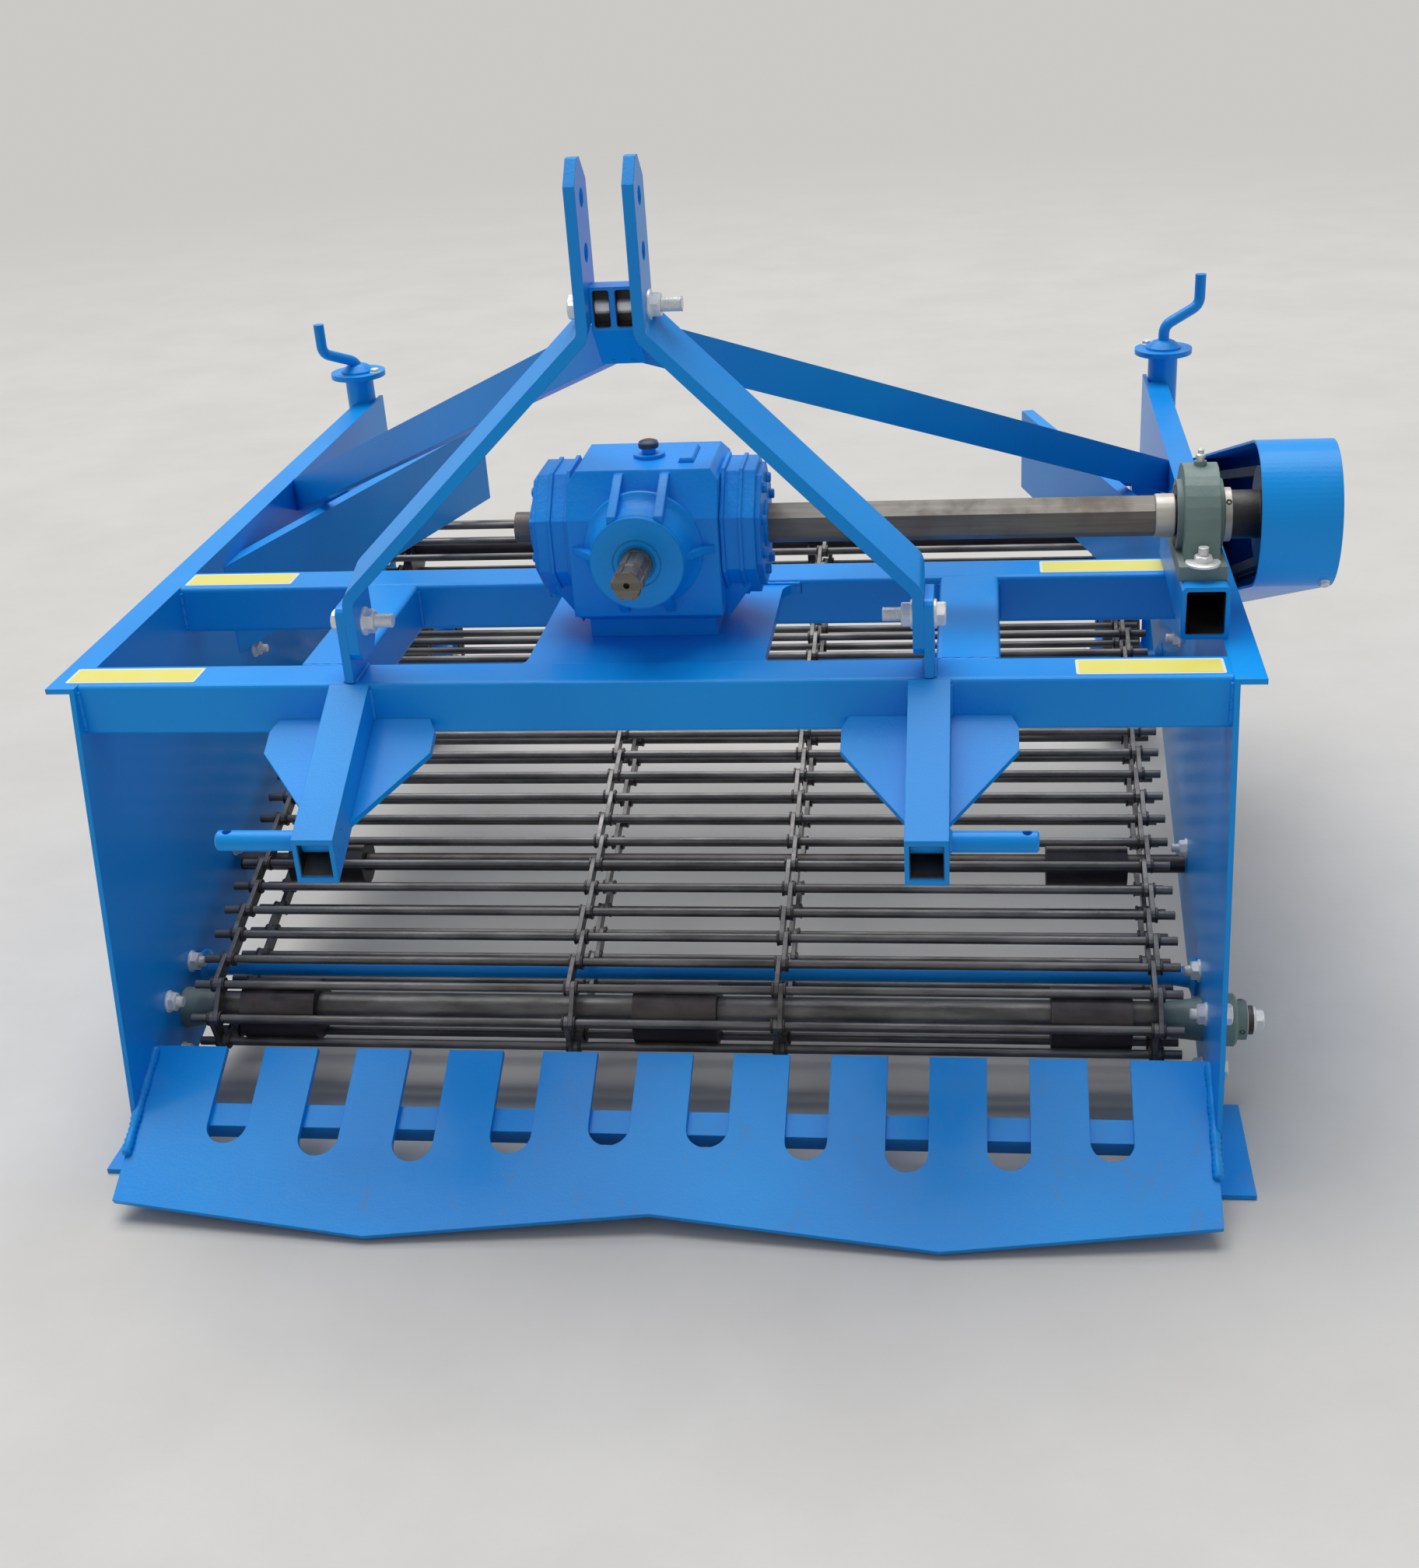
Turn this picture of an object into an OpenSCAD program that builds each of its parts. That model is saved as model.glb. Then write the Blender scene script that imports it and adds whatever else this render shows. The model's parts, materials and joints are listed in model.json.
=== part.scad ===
// Single-bed potato digger for a small tractor: a slotted share lifts the ridge onto a
// rod web that runs up between two side panels, under a beam frame with a three-point hitch.
// Millimetres. X to the right seen from the tractor, Y to the rear, Z up, ground at Z = 0.
// The working frame has its zero on the middle plane, at the panels' upper front corners;
// place() then moves it so that the middle of the whole machine is over the origin.

/* [Side panels] */
// clear width between the side panels
inner_w = 1272; // [1240:4:1320]
// sheet thickness of a side panel
panel_t = 6; // [5:0.5:8]
// width of the flange folded outwards along a panel's top
flange_w = 28; // [22:1:34]
// width of the skid folded outwards at a panel's foot
foot_w = 41; // [36:1:46]
// height of the frame's top face over the ground
frame_top = 600; // [590:2:620]
// length of a side panel from its upper front corner
panel_len = 1262; // [1256:2:1280]

/* [Beam frame] */
// height and depth of the square cross beams
beam = 60; // [50:2:64]
// wall of the square tubes
wall = 5; // [3:0.5:6]
// distance from the panels' front corner to the front beam
beam_y = 8; // [4:1:12]
// clear distance between the front and rear beams
beam_gap = 254; // [246:2:270]
// distance of each lengthwise rail from the middle plane
rail_x = 360; // [340:5:400]
// width of a lengthwise rail
rail_w = 70; // [60:2:80]
// width of the plate under the gearbox
bed_w = 270; // [264:2:300]
// thickness of the plate under the gearbox
bed_t = 12; // [8:1:15]

/* [Hitch] */
// distance between the shoulders of the lower hitch pins
pin_span = 683; // [680:1:690]
// diameter of the lower hitch pins
pin_d = 22; // [20:0.5:25]
// free length of a lower hitch pin
pin_len = 90; // [80:5:110]
// side of the square tube of a lower arm
arm_w = 45; // [40:1:50]
// reach of a lower arm ahead of the front beam
arm_reach = 186; // [170:2:200]
// drop of a lower arm over its reach
arm_drop = 97; // [80:2:110]
// clear gap between the two upright hitch bars
mast_gap = 47; // [44:1:54]
// thickness of a hitch bar
bar_t = 12; // [10:0.5:14]
// width of a hitch bar
bar_w = 60; // [56:1:66]
// height of the upper top-link hole over the ground
link_z = 1098; // [1090:2:1114]
// distance that the bars' upper part stands behind their feet
mast_set = 35; // [30:1:40]
// diameter of the top-link holes
link_d = 19.5; // [19:0.5:25]
// height of a brace tube
brace_h = 44; // [40:1:48]
// outer corner radius of the square tubes
tube_r = 6; // [2:0.5:7]

/* [Drive] */
// height of the gearbox shafts over the frame's top face
gear_h = 108; // [104:1:112]
// distance of the cross shaft behind the panels' front corner
shaft_y = 215; // [210:1:220]
// diameter of the splined input shaft
pto_d = 35; // [30:1:38]
// width across the flats of the hexagonal cross shaft
hex_w = 41; // [38:1:44]
// radius of the drive pulley over the belts
pulley_r = 54; // [50:1:58]
// radius of the driven pulley over the belts
driven_r = 92; // [86:1:96]
// clear space between the belts and the guard's band
guard_gap = 24; // [18:1:26]
// width of the guard's band
guard_w = 82; // [80:1:96]

/* [Conveyor] */
// distance of the front roller behind the panels' front corner
roller_y = 105; // [100:1:112]
// height of the front roller over the ground
roller_z = 112; // [106:1:116]
// distance between the front roller and the rear drive shaft
run_len = 1000; // [990:2:1010]
// slope of the web in degrees
slope = 16.26; // [15.5:0.1:17]
// diameter of a web rod
rod_d = 11; // [10:0.5:12]
// length that a rod keeps clear of the side panels
rod_end_gap = 24; // [14:1:30]
// distance of the inner link strands from the middle plane
strand_in = 129; // [110:1:150]
// distance of the outer link strands from the side panels
strand_gap = 54; // [48:1:60]
// thickness of a link plate
link_t = 5.5; // [4:0.5:6]

/* [Share] */
// height of the share's rear edge over the ground
share_z = 121; // [119:1:126]
// slope of the share in degrees
share_slope = 27; // [26:0.25:27]
// length of the share along its slope at its corners
share_len = 206; // [200:1:208]
// extra length of the two points
point_len = 36; // [20:1:38]
// thickness of the share
share_t = 8; // [6:0.5:9]
// width of a slot
slot_w = 49; // [40:1:56]
// side of the square tube under the share
share_tube = 30; // [26:1:34]

/* [Depth wheels] */
// distance of the wheel columns from the side panels' rear edge
column_inset = 25; // [20:1:32]
// outer radius of a column tube
column_r = 23; // [22:0.5:26]
// radius of the leg that slides in the column
leg_r = 17; // [15:0.5:17.5]
// outer diameter of a depth wheel
wheel_d = 260; // [240:5:270]
// width of a depth wheel
wheel_w = 60; // [50:2:64]

/* [Hidden] */
in_x = inner_w / 2;                       // inner face of a panel
column_y = panel_len - column_inset;
out_x = in_x + panel_t;                   // outer face of a panel
front_beam_y = [beam_y, beam_y + beam];
rear_beam_y = [beam_y + beam + beam_gap, beam_y + 2 * beam + beam_gap];
axis_z = frame_top + gear_h;              // height of both gearbox shafts
case_x = 85;                              // half width of the gearbox casting
case_y = 85;                              // half depth of the gearbox casting
cover_w = 45;                             // width of a bearing cover on its side
shaft_r = 18;                             // round ends of the cross shaft
run_fit = 0.05;                           // radial play of a turning shaft in its bore
nose_y = shaft_y - case_y - 48;           // front face of the gearbox nose
// the web: rods one pitch apart, 23 pitches on a run and 3 around each end
run_links = 23;
end_links = 3;
pitch = run_len / run_links;
path_r = pitch;                           // six rods to the turn, so radius and pitch agree
rod_r = rod_d / 2;
rods = 2 * (run_links + end_links);
drum_r = path_r - rod_r - 0.2;
axle_r = 17.5;
dir_u = [cos(slope), sin(slope)];         // along the top run, as [y, z]
dir_n = [-sin(slope), cos(slope)];        // square to it, upwards
front_c = [roller_y, roller_z];
rear_c = front_c + run_len * dir_u;
strand_out = in_x - strand_gap;
strands_out = [-strand_out - link_t, strand_out - link_t];
strands_in = [-strand_in - link_t, strand_in - link_t];
link_r = 9;                               // half height of a link plate
// columns: distance along the run, height over the line of centres, radius
carriers = [[262, 3, 30], [600, 3, 30]];
ties = [[72, -4, 10.5], [690, 0, 10.5]];
// the share, in its own plane: u runs along the slope from the rear edge
slots = 10;
slot_pitch = inner_w / 11;
slot_rest = 90;                           // share left ahead of a slot
share_rear_y = 3;
// the drive side: columns from the panel outwards
stand_w = 52;
stand_h = 60;
bearing_x = out_x - stand_w / 2 - 2;
pulley_x = out_x + 31;
belt_t = 11;
belt_w = 13;
belt_x = [pulley_x + 14, pulley_x + 34];
drive_c = [shaft_y, axis_z];
guard_t = 3;
// the hitch bars: their bend lines rise to the rear, so the upper part stands further back
foot_x = pin_span / 2 - arm_w + 5.5;      // inner face of a bar at its lug
bar_y = [beam_y + 2, beam_y + 2 + bar_w];
bar_mid = beam_y + 2 + bar_w / 2;
mast_y = bar_mid + mast_set;              // middle of a bar's upper part
bar_cut = 24;                             // corners cut off a bar's top
foot_cut = 10;                            // corners cut off its lower end
bend_tilt = 17;                           // rise of the bend lines, in degrees
bend_r = 9;                               // inner radius of a bend
bend_z = link_z - 137;                    // front end of the upper bend
foot_z = frame_top + 93;                  // front end of the lower bend
foot_gap = 24;                            // gap of a bar's lower end over the beam
lug_t = 10;
lug_h = 87;
lug_bolt_z = frame_top + 62;
bolt_hole_r = 8;
brace_w = mast_gap / 2;
brace_t = 3;
brace_bolt = [mast_y + 8, link_z - 110];  // through bolt of bars and braces, [y, z]
// the depth wheels
column_x = out_x + column_r;
column_z = [330, frame_top + 40];
wheel_r = wheel_d / 2;
wheel_x = out_x - 5 - wheel_w / 2;
axle_stub_r = 12;
crank_turn = [230, 25];                   // way the crank arms point, left and right
crank_lift = [28, 47];                    // height of the crank arms over the column caps
// the whole machine's middle
disc_r = 45;
crank_arm = 62;
leg_top = 545;                            // top of a leg's tube inside the column
leg_bore_z = 340;                         // foot of the bore that takes the screw
leg_bore_r = 10;
screw_z = 450;                            // lower end of the screw
screw_r = 8;
max_x = pulley_x + guard_w + guard_t;
min_x = -(column_x + disc_r);
tip_y = share_rear_y - (share_len + point_len) * cos(share_slope);
max_y = column_y + wheel_r;
mid_x = (max_x + min_x) / 2;
mid_y = (max_y + tip_y) / 2;

paint = [0.12, 0.46, 0.86];
dark_steel = [0.17, 0.16, 0.17];
bare_steel = [0.50, 0.46, 0.44];
zinc = [0.80, 0.82, 0.82];
cast_green = [0.33, 0.40, 0.38];
rubber = [0.09, 0.09, 0.10];

// small helpers
module place() {
    translate([-mid_x, -mid_y, 0]) children();
}

module block(x1, x2, y1, y2, z1, z2) {
    translate([min(x1, x2), y1, z1]) cube([abs(x2 - x1), y2 - y1, z2 - z1]);
}

module bar_x(x1, x2, y, z, r) {
    translate([min(x1, x2), y, z]) rotate([0, 90, 0]) cylinder(h = abs(x2 - x1), r = r);
}

module bar_y(y1, y2, x, z, r) {
    translate([x, y2, z]) rotate([90, 0, 0]) cylinder(h = y2 - y1, r = r);
}

module bar_z(z1, z2, x, y, r) {
    translate([x, y, z1]) cylinder(h = z2 - z1, r = r);
}

// an outline of [y, z] points, drawn out along X
module side_plate(x1, x2, outline) {
    translate([min(x1, x2), 0, 0]) rotate([90, 0, 90]) linear_extrude(abs(x2 - x1)) polygon(outline);
}

// an outline of [x, z] points, drawn out along Y
module front_plate(y1, y2, outline) {
    translate([0, y2, 0]) rotate([90, 0, 0]) linear_extrude(y2 - y1) polygon(outline);
}

// points of an arc around a centre, from one angle to another
function arc(c, r, a1, a2, n) =
    [for (i = [0:n]) c + r * [cos(a1 + (a2 - a1) * i / n), sin(a1 + (a2 - a1) * i / n)]];

// outline of a rectangle with round corners
function round_box(x1, x2, y1, y2, r) =
    concat(arc([x2 - r, y2 - r], r, 0, 90, 4), arc([x1 + r, y2 - r], r, 90, 180, 4),
        arc([x1 + r, y1 + r], r, 180, 270, 4), arc([x2 - r, y1 + r], r, 270, 360, 4));

// outline of a loop laid around two circles
function loop_outline(c1, r1, c2, r2, n) =
    let (d = c2 - c1, a = atan2(d[1], d[0]), b = acos((r1 - r2) / norm(d)))
    concat(arc(c1, r1, a + b, a + 360 - b, n), arc(c2, r2, a - b, a + b, n));

// place of rod i along the web's loop, as [y, z]
function web_rod(i) =
    i <= run_links ? front_c + path_r * dir_n + i * pitch * dir_u :
    i < run_links + end_links ? turn(rear_c, 90 - 60 * (i - run_links)) :
    i <= 2 * run_links + end_links ?
        rear_c - path_r * dir_n - (i - run_links - end_links) * pitch * dir_u :
    turn(front_c, -90 - 60 * (i - 2 * run_links - end_links));
function turn(c, a) = c + path_r * (cos(a) * dir_u + sin(a) * dir_n);

// a place along the run, at a height over the line of centres
function on_run(t, h) = front_c + t * dir_u + h * dir_n;

// side panels
function panel_foot(y) = roller_z - 66.7 + (y - roller_y) * tan(slope);

panel_outline = [[0, frame_top], [-95, 0], [80, 0], [92, panel_foot(92)],
    [panel_len, panel_foot(panel_len)], [panel_len, frame_top]];

module panel_hole(s, c, r) {
    bar_x(s * (in_x - 1), s * (out_x + 1), c[0], c[1], r);
}

module side_panel(s) {
    color(paint) place() difference() {
        union() {
            side_plate(s * in_x, s * out_x, panel_outline);
            block(s * out_x, s * (out_x + flange_w), 0, column_y - column_r - 4,
                frame_top - panel_t, frame_top);
            block(s * out_x, s * (out_x + foot_w), -95, 80, 0, panel_t);
        }
        for (c = [front_c, rear_c]) panel_hole(s, c, hub_in_r + run_fit);
        for (k = carriers) panel_hole(s, on_run(k[0], k[1]), carrier_r + run_fit);
    }
}
module side_panel_left() { side_panel(-1); }
module side_panel_right() { side_panel(1); }

// beam frame
module cross_beam(ys) {
    color(paint) place() difference() {
        side_plate(-in_x, in_x, round_box(ys[0], ys[1], frame_top - beam, frame_top, tube_r));
        side_plate(-in_x - 1, in_x + 1, round_box(ys[0] + wall, ys[1] - wall, frame_top - beam + wall,
            frame_top - wall, tube_r / 2));
    }
}
module front_beam() { cross_beam(front_beam_y); }
module rear_beam() { cross_beam(rear_beam_y); }

// right side of the gearbox bed's outline, from front to rear: fillets run out to both beams
bed_fillet = 22;
bed_right = concat(
    arc([bed_w / 2 + bed_fillet, front_beam_y[1] + bed_fillet], bed_fillet, 270, 180, 5),
    arc([bed_w / 2 + bed_fillet, rear_beam_y[0] - bed_fillet], bed_fillet, 180, 90, 5));
bed_left = [for (i = [len(bed_right) - 1:-1:0]) [-bed_right[i][0], bed_right[i][1]]];

module frame_rails() {
    color(paint) place() for (s = [-1, 1]) difference() {
        front_plate(front_beam_y[1], rear_beam_y[0], round_box(s * rail_x - rail_w / 2,
            s * rail_x + rail_w / 2, frame_top - beam, frame_top, tube_r));
        front_plate(front_beam_y[1] - 1, rear_beam_y[0] + 1, round_box(s * rail_x - rail_w / 2 + wall,
            s * rail_x + rail_w / 2 - wall, frame_top - beam + wall, frame_top - wall, tube_r / 2));
    }
}

module gearbox_bed() {
    color(paint) place() translate([0, 0, frame_top - tube_r - bed_t]) linear_extrude(bed_t)
        polygon(concat(bed_right, bed_left));
}

// three-point hitch
// a bar seen from the front, square to its bend lines: upright, leaning in, upright again
bar_low = foot_z * cos(bend_tilt) - bar_y[0] * sin(bend_tilt);
bar_high = bend_z * cos(bend_tilt) - (bar_y[0] + mast_set) * sin(bend_tilt);
bar_lean = atan2(foot_x - mast_gap / 2, bar_high - bar_low);
bar_front = let (x0 = mast_gap / 2, r = bend_r + bar_t,
        c1 = [x0 + r, bar_high + r * tan(bar_lean / 2)],
        c2 = [foot_x - bend_r, bar_low - bend_r * tan(bar_lean / 2)])
    concat([[x0, 1300]], arc(c1, r, 180, 180 + bar_lean, 4), arc(c2, bend_r, bar_lean, 0, 4),
        [[foot_x, 0], [foot_x + bar_t, 0]], arc(c2, r, 0, bar_lean, 4),
        arc(c1, bend_r, 180 + bar_lean, 180, 4), [[x0 + bar_t, 1300]]);
// a bar seen from the side, from the front of its lower end on
bar_side = let (y0 = bar_y[0], y1 = bar_y[1], foot = frame_top + foot_gap, top = link_z + 39,
        rise = bar_w * tan(bend_tilt))
    [[y0, foot + foot_cut], [y0 + foot_cut, foot], [y1 - foot_cut, foot], [y1, foot + foot_cut],
    [y1, foot_z + rise], [y1 + mast_set, bend_z + rise], [y1 + mast_set, top - bar_cut],
    [y1 + mast_set - bar_cut, top], [y0 + mast_set + bar_cut, top], [y0 + mast_set, top - bar_cut],
    [y0 + mast_set, bend_z], [y0, foot_z]];

module hitch_bar(s) {
    x = [mast_gap / 2 - 1, mast_gap / 2 + bar_t + 1];
    difference() {
        intersection() {
            rotate([bend_tilt, 0, 0]) front_plate(0, 600, [for (p = bar_front) [s * p[0], p[1]]]);
            side_plate(0, s * in_x, bar_side);
        }
        for (z = [link_z, link_z - 54]) bar_x(s * x[0], s * x[1], mast_y, z, link_d / 2);
        bar_x(s * x[0], s * (x[1] + 9), brace_bolt[0], brace_bolt[1], bolt_hole_r);
        bar_x(s * (foot_x - 1), s * (foot_x + bar_t + 1), bar_mid, lug_bolt_z, bolt_hole_r);
    }
}
module hitch_bars() {
    color(paint) place() for (s = [-1, 1]) hitch_bar(s);
}

module hitch_lugs() {
    x = foot_x + bar_t;
    color(paint) place() for (s = [-1, 1]) difference() {
        side_plate(s * x, s * (x + lug_t), concat([[bar_y[0], frame_top], [bar_y[1], frame_top]],
            arc([bar_y[1] - 9, frame_top + lug_h - 9], 9, 0, 90, 3),
            arc([bar_y[0] + 9, frame_top + lug_h - 9], 9, 90, 180, 3)));
        bar_x(s * (x - 1), s * (x + lug_t + 1), bar_mid, lug_bolt_z, bolt_hole_r);
    }
}

// a brace starts between the bars, drops behind them, then bends outwards and down to the panel's top
mast_back = bar_y[1] + mast_set;
brace_front_y = mast_y - 6;
brace_bend = [brace_w / 2 + 1, mast_back + 16, brace_bolt[1] - 44];
brace_end = [in_x - 9, 785, frame_top - brace_h / 2];
module brace_run(s) {
    d = brace_end - brace_bend;
    translate([s * brace_bend[0], brace_bend[1], brace_bend[2]])
        rotate([0, 0, s > 0 ? atan2(d[1], d[0]) : 180 - atan2(d[1], d[0])])
        rotate([0, atan2(-d[2], norm([d[0], d[1]])), 0])
        translate([-8, -brace_w / 2, -brace_h / 2]) cube([norm(d) + 90, brace_w, brace_h]);
}

// the hollow of a brace's open front end, from a height up and to a depth
module brace_mouth(s, z, y) {
    x = [s * brace_t, s * (brace_w - brace_t)];
    front_plate(brace_front_y - 1, y, round_box(min(x), max(x), z, brace_bolt[1] + brace_h / 2 - brace_t, 3));
}

module hitch_brace(s) {
    y2 = brace_bend[1];
    low = brace_bolt[1] - brace_h / 2;
    difference() {
        intersection() {
            union() {
                side_plate(0, s * brace_w, [[brace_front_y, low + brace_h], [mast_back - 8, low + brace_h],
                    [y2 + 8, brace_bend[2] + brace_h / 2], [y2 + 8, brace_bend[2] - brace_h / 2],
                    [y2 - 12, brace_bend[2] - brace_h / 2], [brace_front_y, low]]);
                brace_run(s);
            }
            block(0, s * in_x, brace_front_y, 1200, 0, 2000);
        }
        brace_mouth(s, low + brace_t + 16, mast_back - 12);
        brace_mouth(s, low + brace_t, brace_front_y + 14);
        bar_x(-1 * s, s * (brace_w + 1), brace_bolt[0], brace_bolt[1], bolt_hole_r);
    }
}
module hitch_braces() {
    color(paint) place() for (s = [-1, 1]) hitch_brace(s);
}

// a lower arm: a square tube that runs forward and down from the front beam
arm_x = [pin_span / 2 - arm_w, pin_span / 2];
arm_fall = arm_drop / arm_reach;
arm_vert = arm_w / cos(atan(arm_fall));   // its height measured upright
arm_tip_y = beam_y - arm_reach;
pin_y = arm_tip_y + 24;
pin_z = frame_top + arm_fall * (pin_y - beam_y) - arm_vert / 2;
pin_seat_r = pin_d / 2 + 1;
function arm_outline(drop, h, y1, y2) = [[y1, frame_top - drop + arm_fall * (y1 - beam_y)],
    [y2, frame_top - drop + arm_fall * (y2 - beam_y)], [y2, frame_top - drop - h + arm_fall * (y2 - beam_y)],
    [y1, frame_top - drop - h + arm_fall * (y1 - beam_y)]];

module lower_arms() {
    color(paint) place() for (s = [-1, 1]) difference() {
        side_plate(s * arm_x[0], s * arm_x[1], arm_outline(0, arm_vert, arm_tip_y, beam_y));
        side_plate(s * (arm_x[0] + wall), s * (arm_x[1] - wall),
            arm_outline(wall + 1, arm_vert - 2 * wall - 2, arm_tip_y - 1, beam_y - 6));
        bar_x(s * (arm_x[0] - 1), s * (arm_x[1] + 1), pin_y, pin_z, pin_seat_r + run_fit);
    }
}

gusset_w = 72;
gusset_t = 8;
module arm_gussets() {
    color(paint) place() for (s = [-1, 1]) for (g = [[arm_x[1], 1], [arm_x[0], -1]]) intersection() {
        translate([0, beam_y, frame_top - arm_vert]) rotate([atan(arm_fall), 0, 0])
            linear_extrude(gusset_t) polygon([for (p = [[0, 9], [gusset_w - 10, 9], [gusset_w, -14],
                [gusset_w, -44], [0, -138]]) [s * (g[0] + g[1] * p[0]), p[1]]]);
        block(-in_x, in_x, beam_y - 300, beam_y, 0, frame_top);
    }
}

// a pin: its seat through the arm, a short cone at its shoulder, the free end and its chamfer
module hitch_pins() {
    r = pin_d / 2;
    color(paint) place() for (s = [-1, 1]) difference() {
        translate([s * arm_x[0], pin_y, pin_z]) rotate([0, s * 90, 0]) rotate_extrude() polygon([[0, 0],
            [pin_seat_r, 0], [pin_seat_r, arm_w], [r + 3, arm_w], [r, arm_w + 3], [r, arm_w + pin_len - 2],
            [r - 2, arm_w + pin_len], [0, arm_w + pin_len]]);
        bar_z(pin_z - pin_d, pin_z + pin_d, s * (arm_x[1] + pin_len - 12), pin_y, 5);
    }
}

// gearbox and drive line
// the casting's outline as [y, z] from the shaft's foot point, and as [x, z] seen from the front
case_side = [[-60, -tube_r], [-60, 16], [-case_y, 29], [-case_y, 142], [-53, 190], [53, 190],
    [case_y, 142], [case_y, 29], [60, 16], [60, -tube_r]];
case_front = [[-73, -tube_r], [-73, 16], [-case_x, 29], [-case_x, 178], [-case_x + 9, 190],
    [case_x - 9, 190], [case_x, 178], [case_x, 29], [73, 16], [73, -tube_r]];
nose_r = 52;
cover_r = 78;
rib_x = [21, 31];
module gearbox_case() {
    color(paint) place() difference() {
        union() {
            intersection() {
                side_plate(-case_x, case_x, [for (p = case_side) [shaft_y + p[0], frame_top + p[1]]]);
                front_plate(shaft_y - case_y, shaft_y + case_y,
                    [for (p = case_front) [p[0], frame_top + p[1]]]);
            }
            bar_y(nose_y, shaft_y - case_y, 0, axis_z, nose_r);
            bar_y(shaft_y - case_y - 9, shaft_y - case_y, 0, axis_z, nose_r + 6);
            for (s = [-1, 1]) {
                translate([s * case_x, shaft_y, axis_z]) rotate([0, s * 90, 0]) rotate([0, 0, 22.5]) {
                    cylinder(h = cover_w - 6, r = cover_r, $fn = 8);
                    cylinder(h = cover_w, r = cover_r - 8, $fn = 8);
                }
                side_plate(s * rib_x[0], s * rib_x[1], [[nose_y + 6, axis_z - 36],
                    [shaft_y - case_y, axis_z - 74],
                    [shaft_y - case_y, frame_top + 142], [shaft_y - 55, frame_top + 187],
                    [shaft_y - 63, frame_top + 187], [nose_y + 8, axis_z + nose_r - 1]]);
                translate([0, 0, axis_z - 4]) linear_extrude(8) polygon([[s * 40, nose_y + 16],
                    [s * 51, nose_y + 16], [s * (case_x - 4), shaft_y - case_y], [s * 40, shaft_y - case_y]]);
            }
            bar_z(frame_top + 190, frame_top + 194, 0, shaft_y, 18);
            bar_z(frame_top + 194, frame_top + 200, 0, shaft_y, 8);
            bar_z(frame_top + 200, frame_top + 207, 0, shaft_y, 11);
            bar_x(-case_x - cover_w - 10, -case_x - cover_w, shaft_y, axis_z, shaft_r + 14);
        }
        bar_x(-case_x - cover_w - 11, case_x + cover_w + 1, shaft_y, axis_z, shaft_r + run_fit);
        bar_y(nose_y - 1, shaft_y - case_y + 20, 0, axis_z, pto_d / 2 + run_fit);
        bar_y(nose_y - 1, nose_y + 6, 0, axis_z, pto_d / 2 + 9);
    }
}

// six-splined power take-off stub
spline_w = 8.7;
spline_root = 15;
module input_shaft() {
    tip = nose_y - 69;
    color(bare_steel) place() difference() {
        union() {
            bar_y(tip + 62, shaft_y - case_y + 18, 0, axis_z, pto_d / 2);
            bar_y(tip, tip + 62, 0, axis_z, spline_root);
            intersection() {
                bar_y(tip + 1, tip + 62, 0, axis_z, pto_d / 2);
                union() for (i = [0:2]) translate([0, tip, axis_z]) rotate([0, i * 60, 0])
                    translate([-pto_d, 0, -spline_w / 2]) cube([2 * pto_d, 63, spline_w]);
            }
        }
        translate([0, tip + 24, axis_z]) rotate([90, 0, 0]) rotate_extrude()
            translate([pto_d / 2 + 1.5, 0]) circle(r = 5);
        bar_y(tip - 1, tip + 10, 0, axis_z, 3.5);
    }
}

module cross_shaft() {
    hex_x = [case_x + cover_w + 3, bearing_x - 48];
    color(bare_steel) place() union() {
        bar_x(-case_x - cover_w - 32, pulley_x + guard_w - 8, shaft_y, axis_z, shaft_r);
        translate([hex_x[0], shaft_y, axis_z]) rotate([0, 90, 0])
            cylinder(h = hex_x[1] - hex_x[0], r = hex_w / 2 / cos(30), $fn = 6);
        bar_x(bearing_x + 26, bearing_x + 33, shaft_y, axis_z, 27);
        bar_x(bearing_x - 48, bearing_x - 26, shaft_y, axis_z, shaft_r + 4);
    }
}

// one side of a two-belt pulley as [radius, x] points, from the core out
function pulley_profile(r_core, r_rim, x1) = [[shaft_r, x1], [r_rim, x1], [r_rim, belt_x[0] - 1],
    [r_core, belt_x[0] - 1], [r_core, belt_x[0] + belt_w + 1], [r_rim, belt_x[0] + belt_w + 1],
    [r_rim, belt_x[1] - 1], [r_core, belt_x[1] - 1], [r_core, belt_x[1] + belt_w + 1],
    [r_rim, belt_x[1] + belt_w + 1],
    [r_rim, belt_x[1] + belt_w + 7], [shaft_r, belt_x[1] + belt_w + 7]];

module pulley(c, r_core, r_rim, bore) {
    translate([0, c[0], c[1]]) rotate([0, 90, 0]) rotate_extrude()
        polygon([for (p = pulley_profile(r_core, r_rim, pulley_x + 6))
            [p[0] == shaft_r ? bore : p[0], p[1]]]);
}

module drive_pulley() {
    color(dark_steel) place() union() {
        pulley(drive_c, pulley_r - belt_t - 0.5, pulley_r - 1, shaft_r);
        translate([bearing_x + 33, shaft_y, axis_z]) rotate([0, 90, 0]) rotate_extrude()
            translate([shaft_r, 0]) square([9, pulley_x + 6 - bearing_x - 33]);
    }
}

module driven_pulley() {
    color(dark_steel) place() pulley(rear_c, driven_r - belt_t - 0.3, driven_r - 1, axle_r);
}

module drive_belts() {
    color(rubber) place() for (x = belt_x) difference() {
        side_plate(x, x + belt_w, loop_outline(drive_c, pulley_r, rear_c, driven_r, 32));
        side_plate(x - 1, x + belt_w + 1,
            loop_outline(drive_c, pulley_r - belt_t, rear_c, driven_r - belt_t, 32));
    }
}

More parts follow.
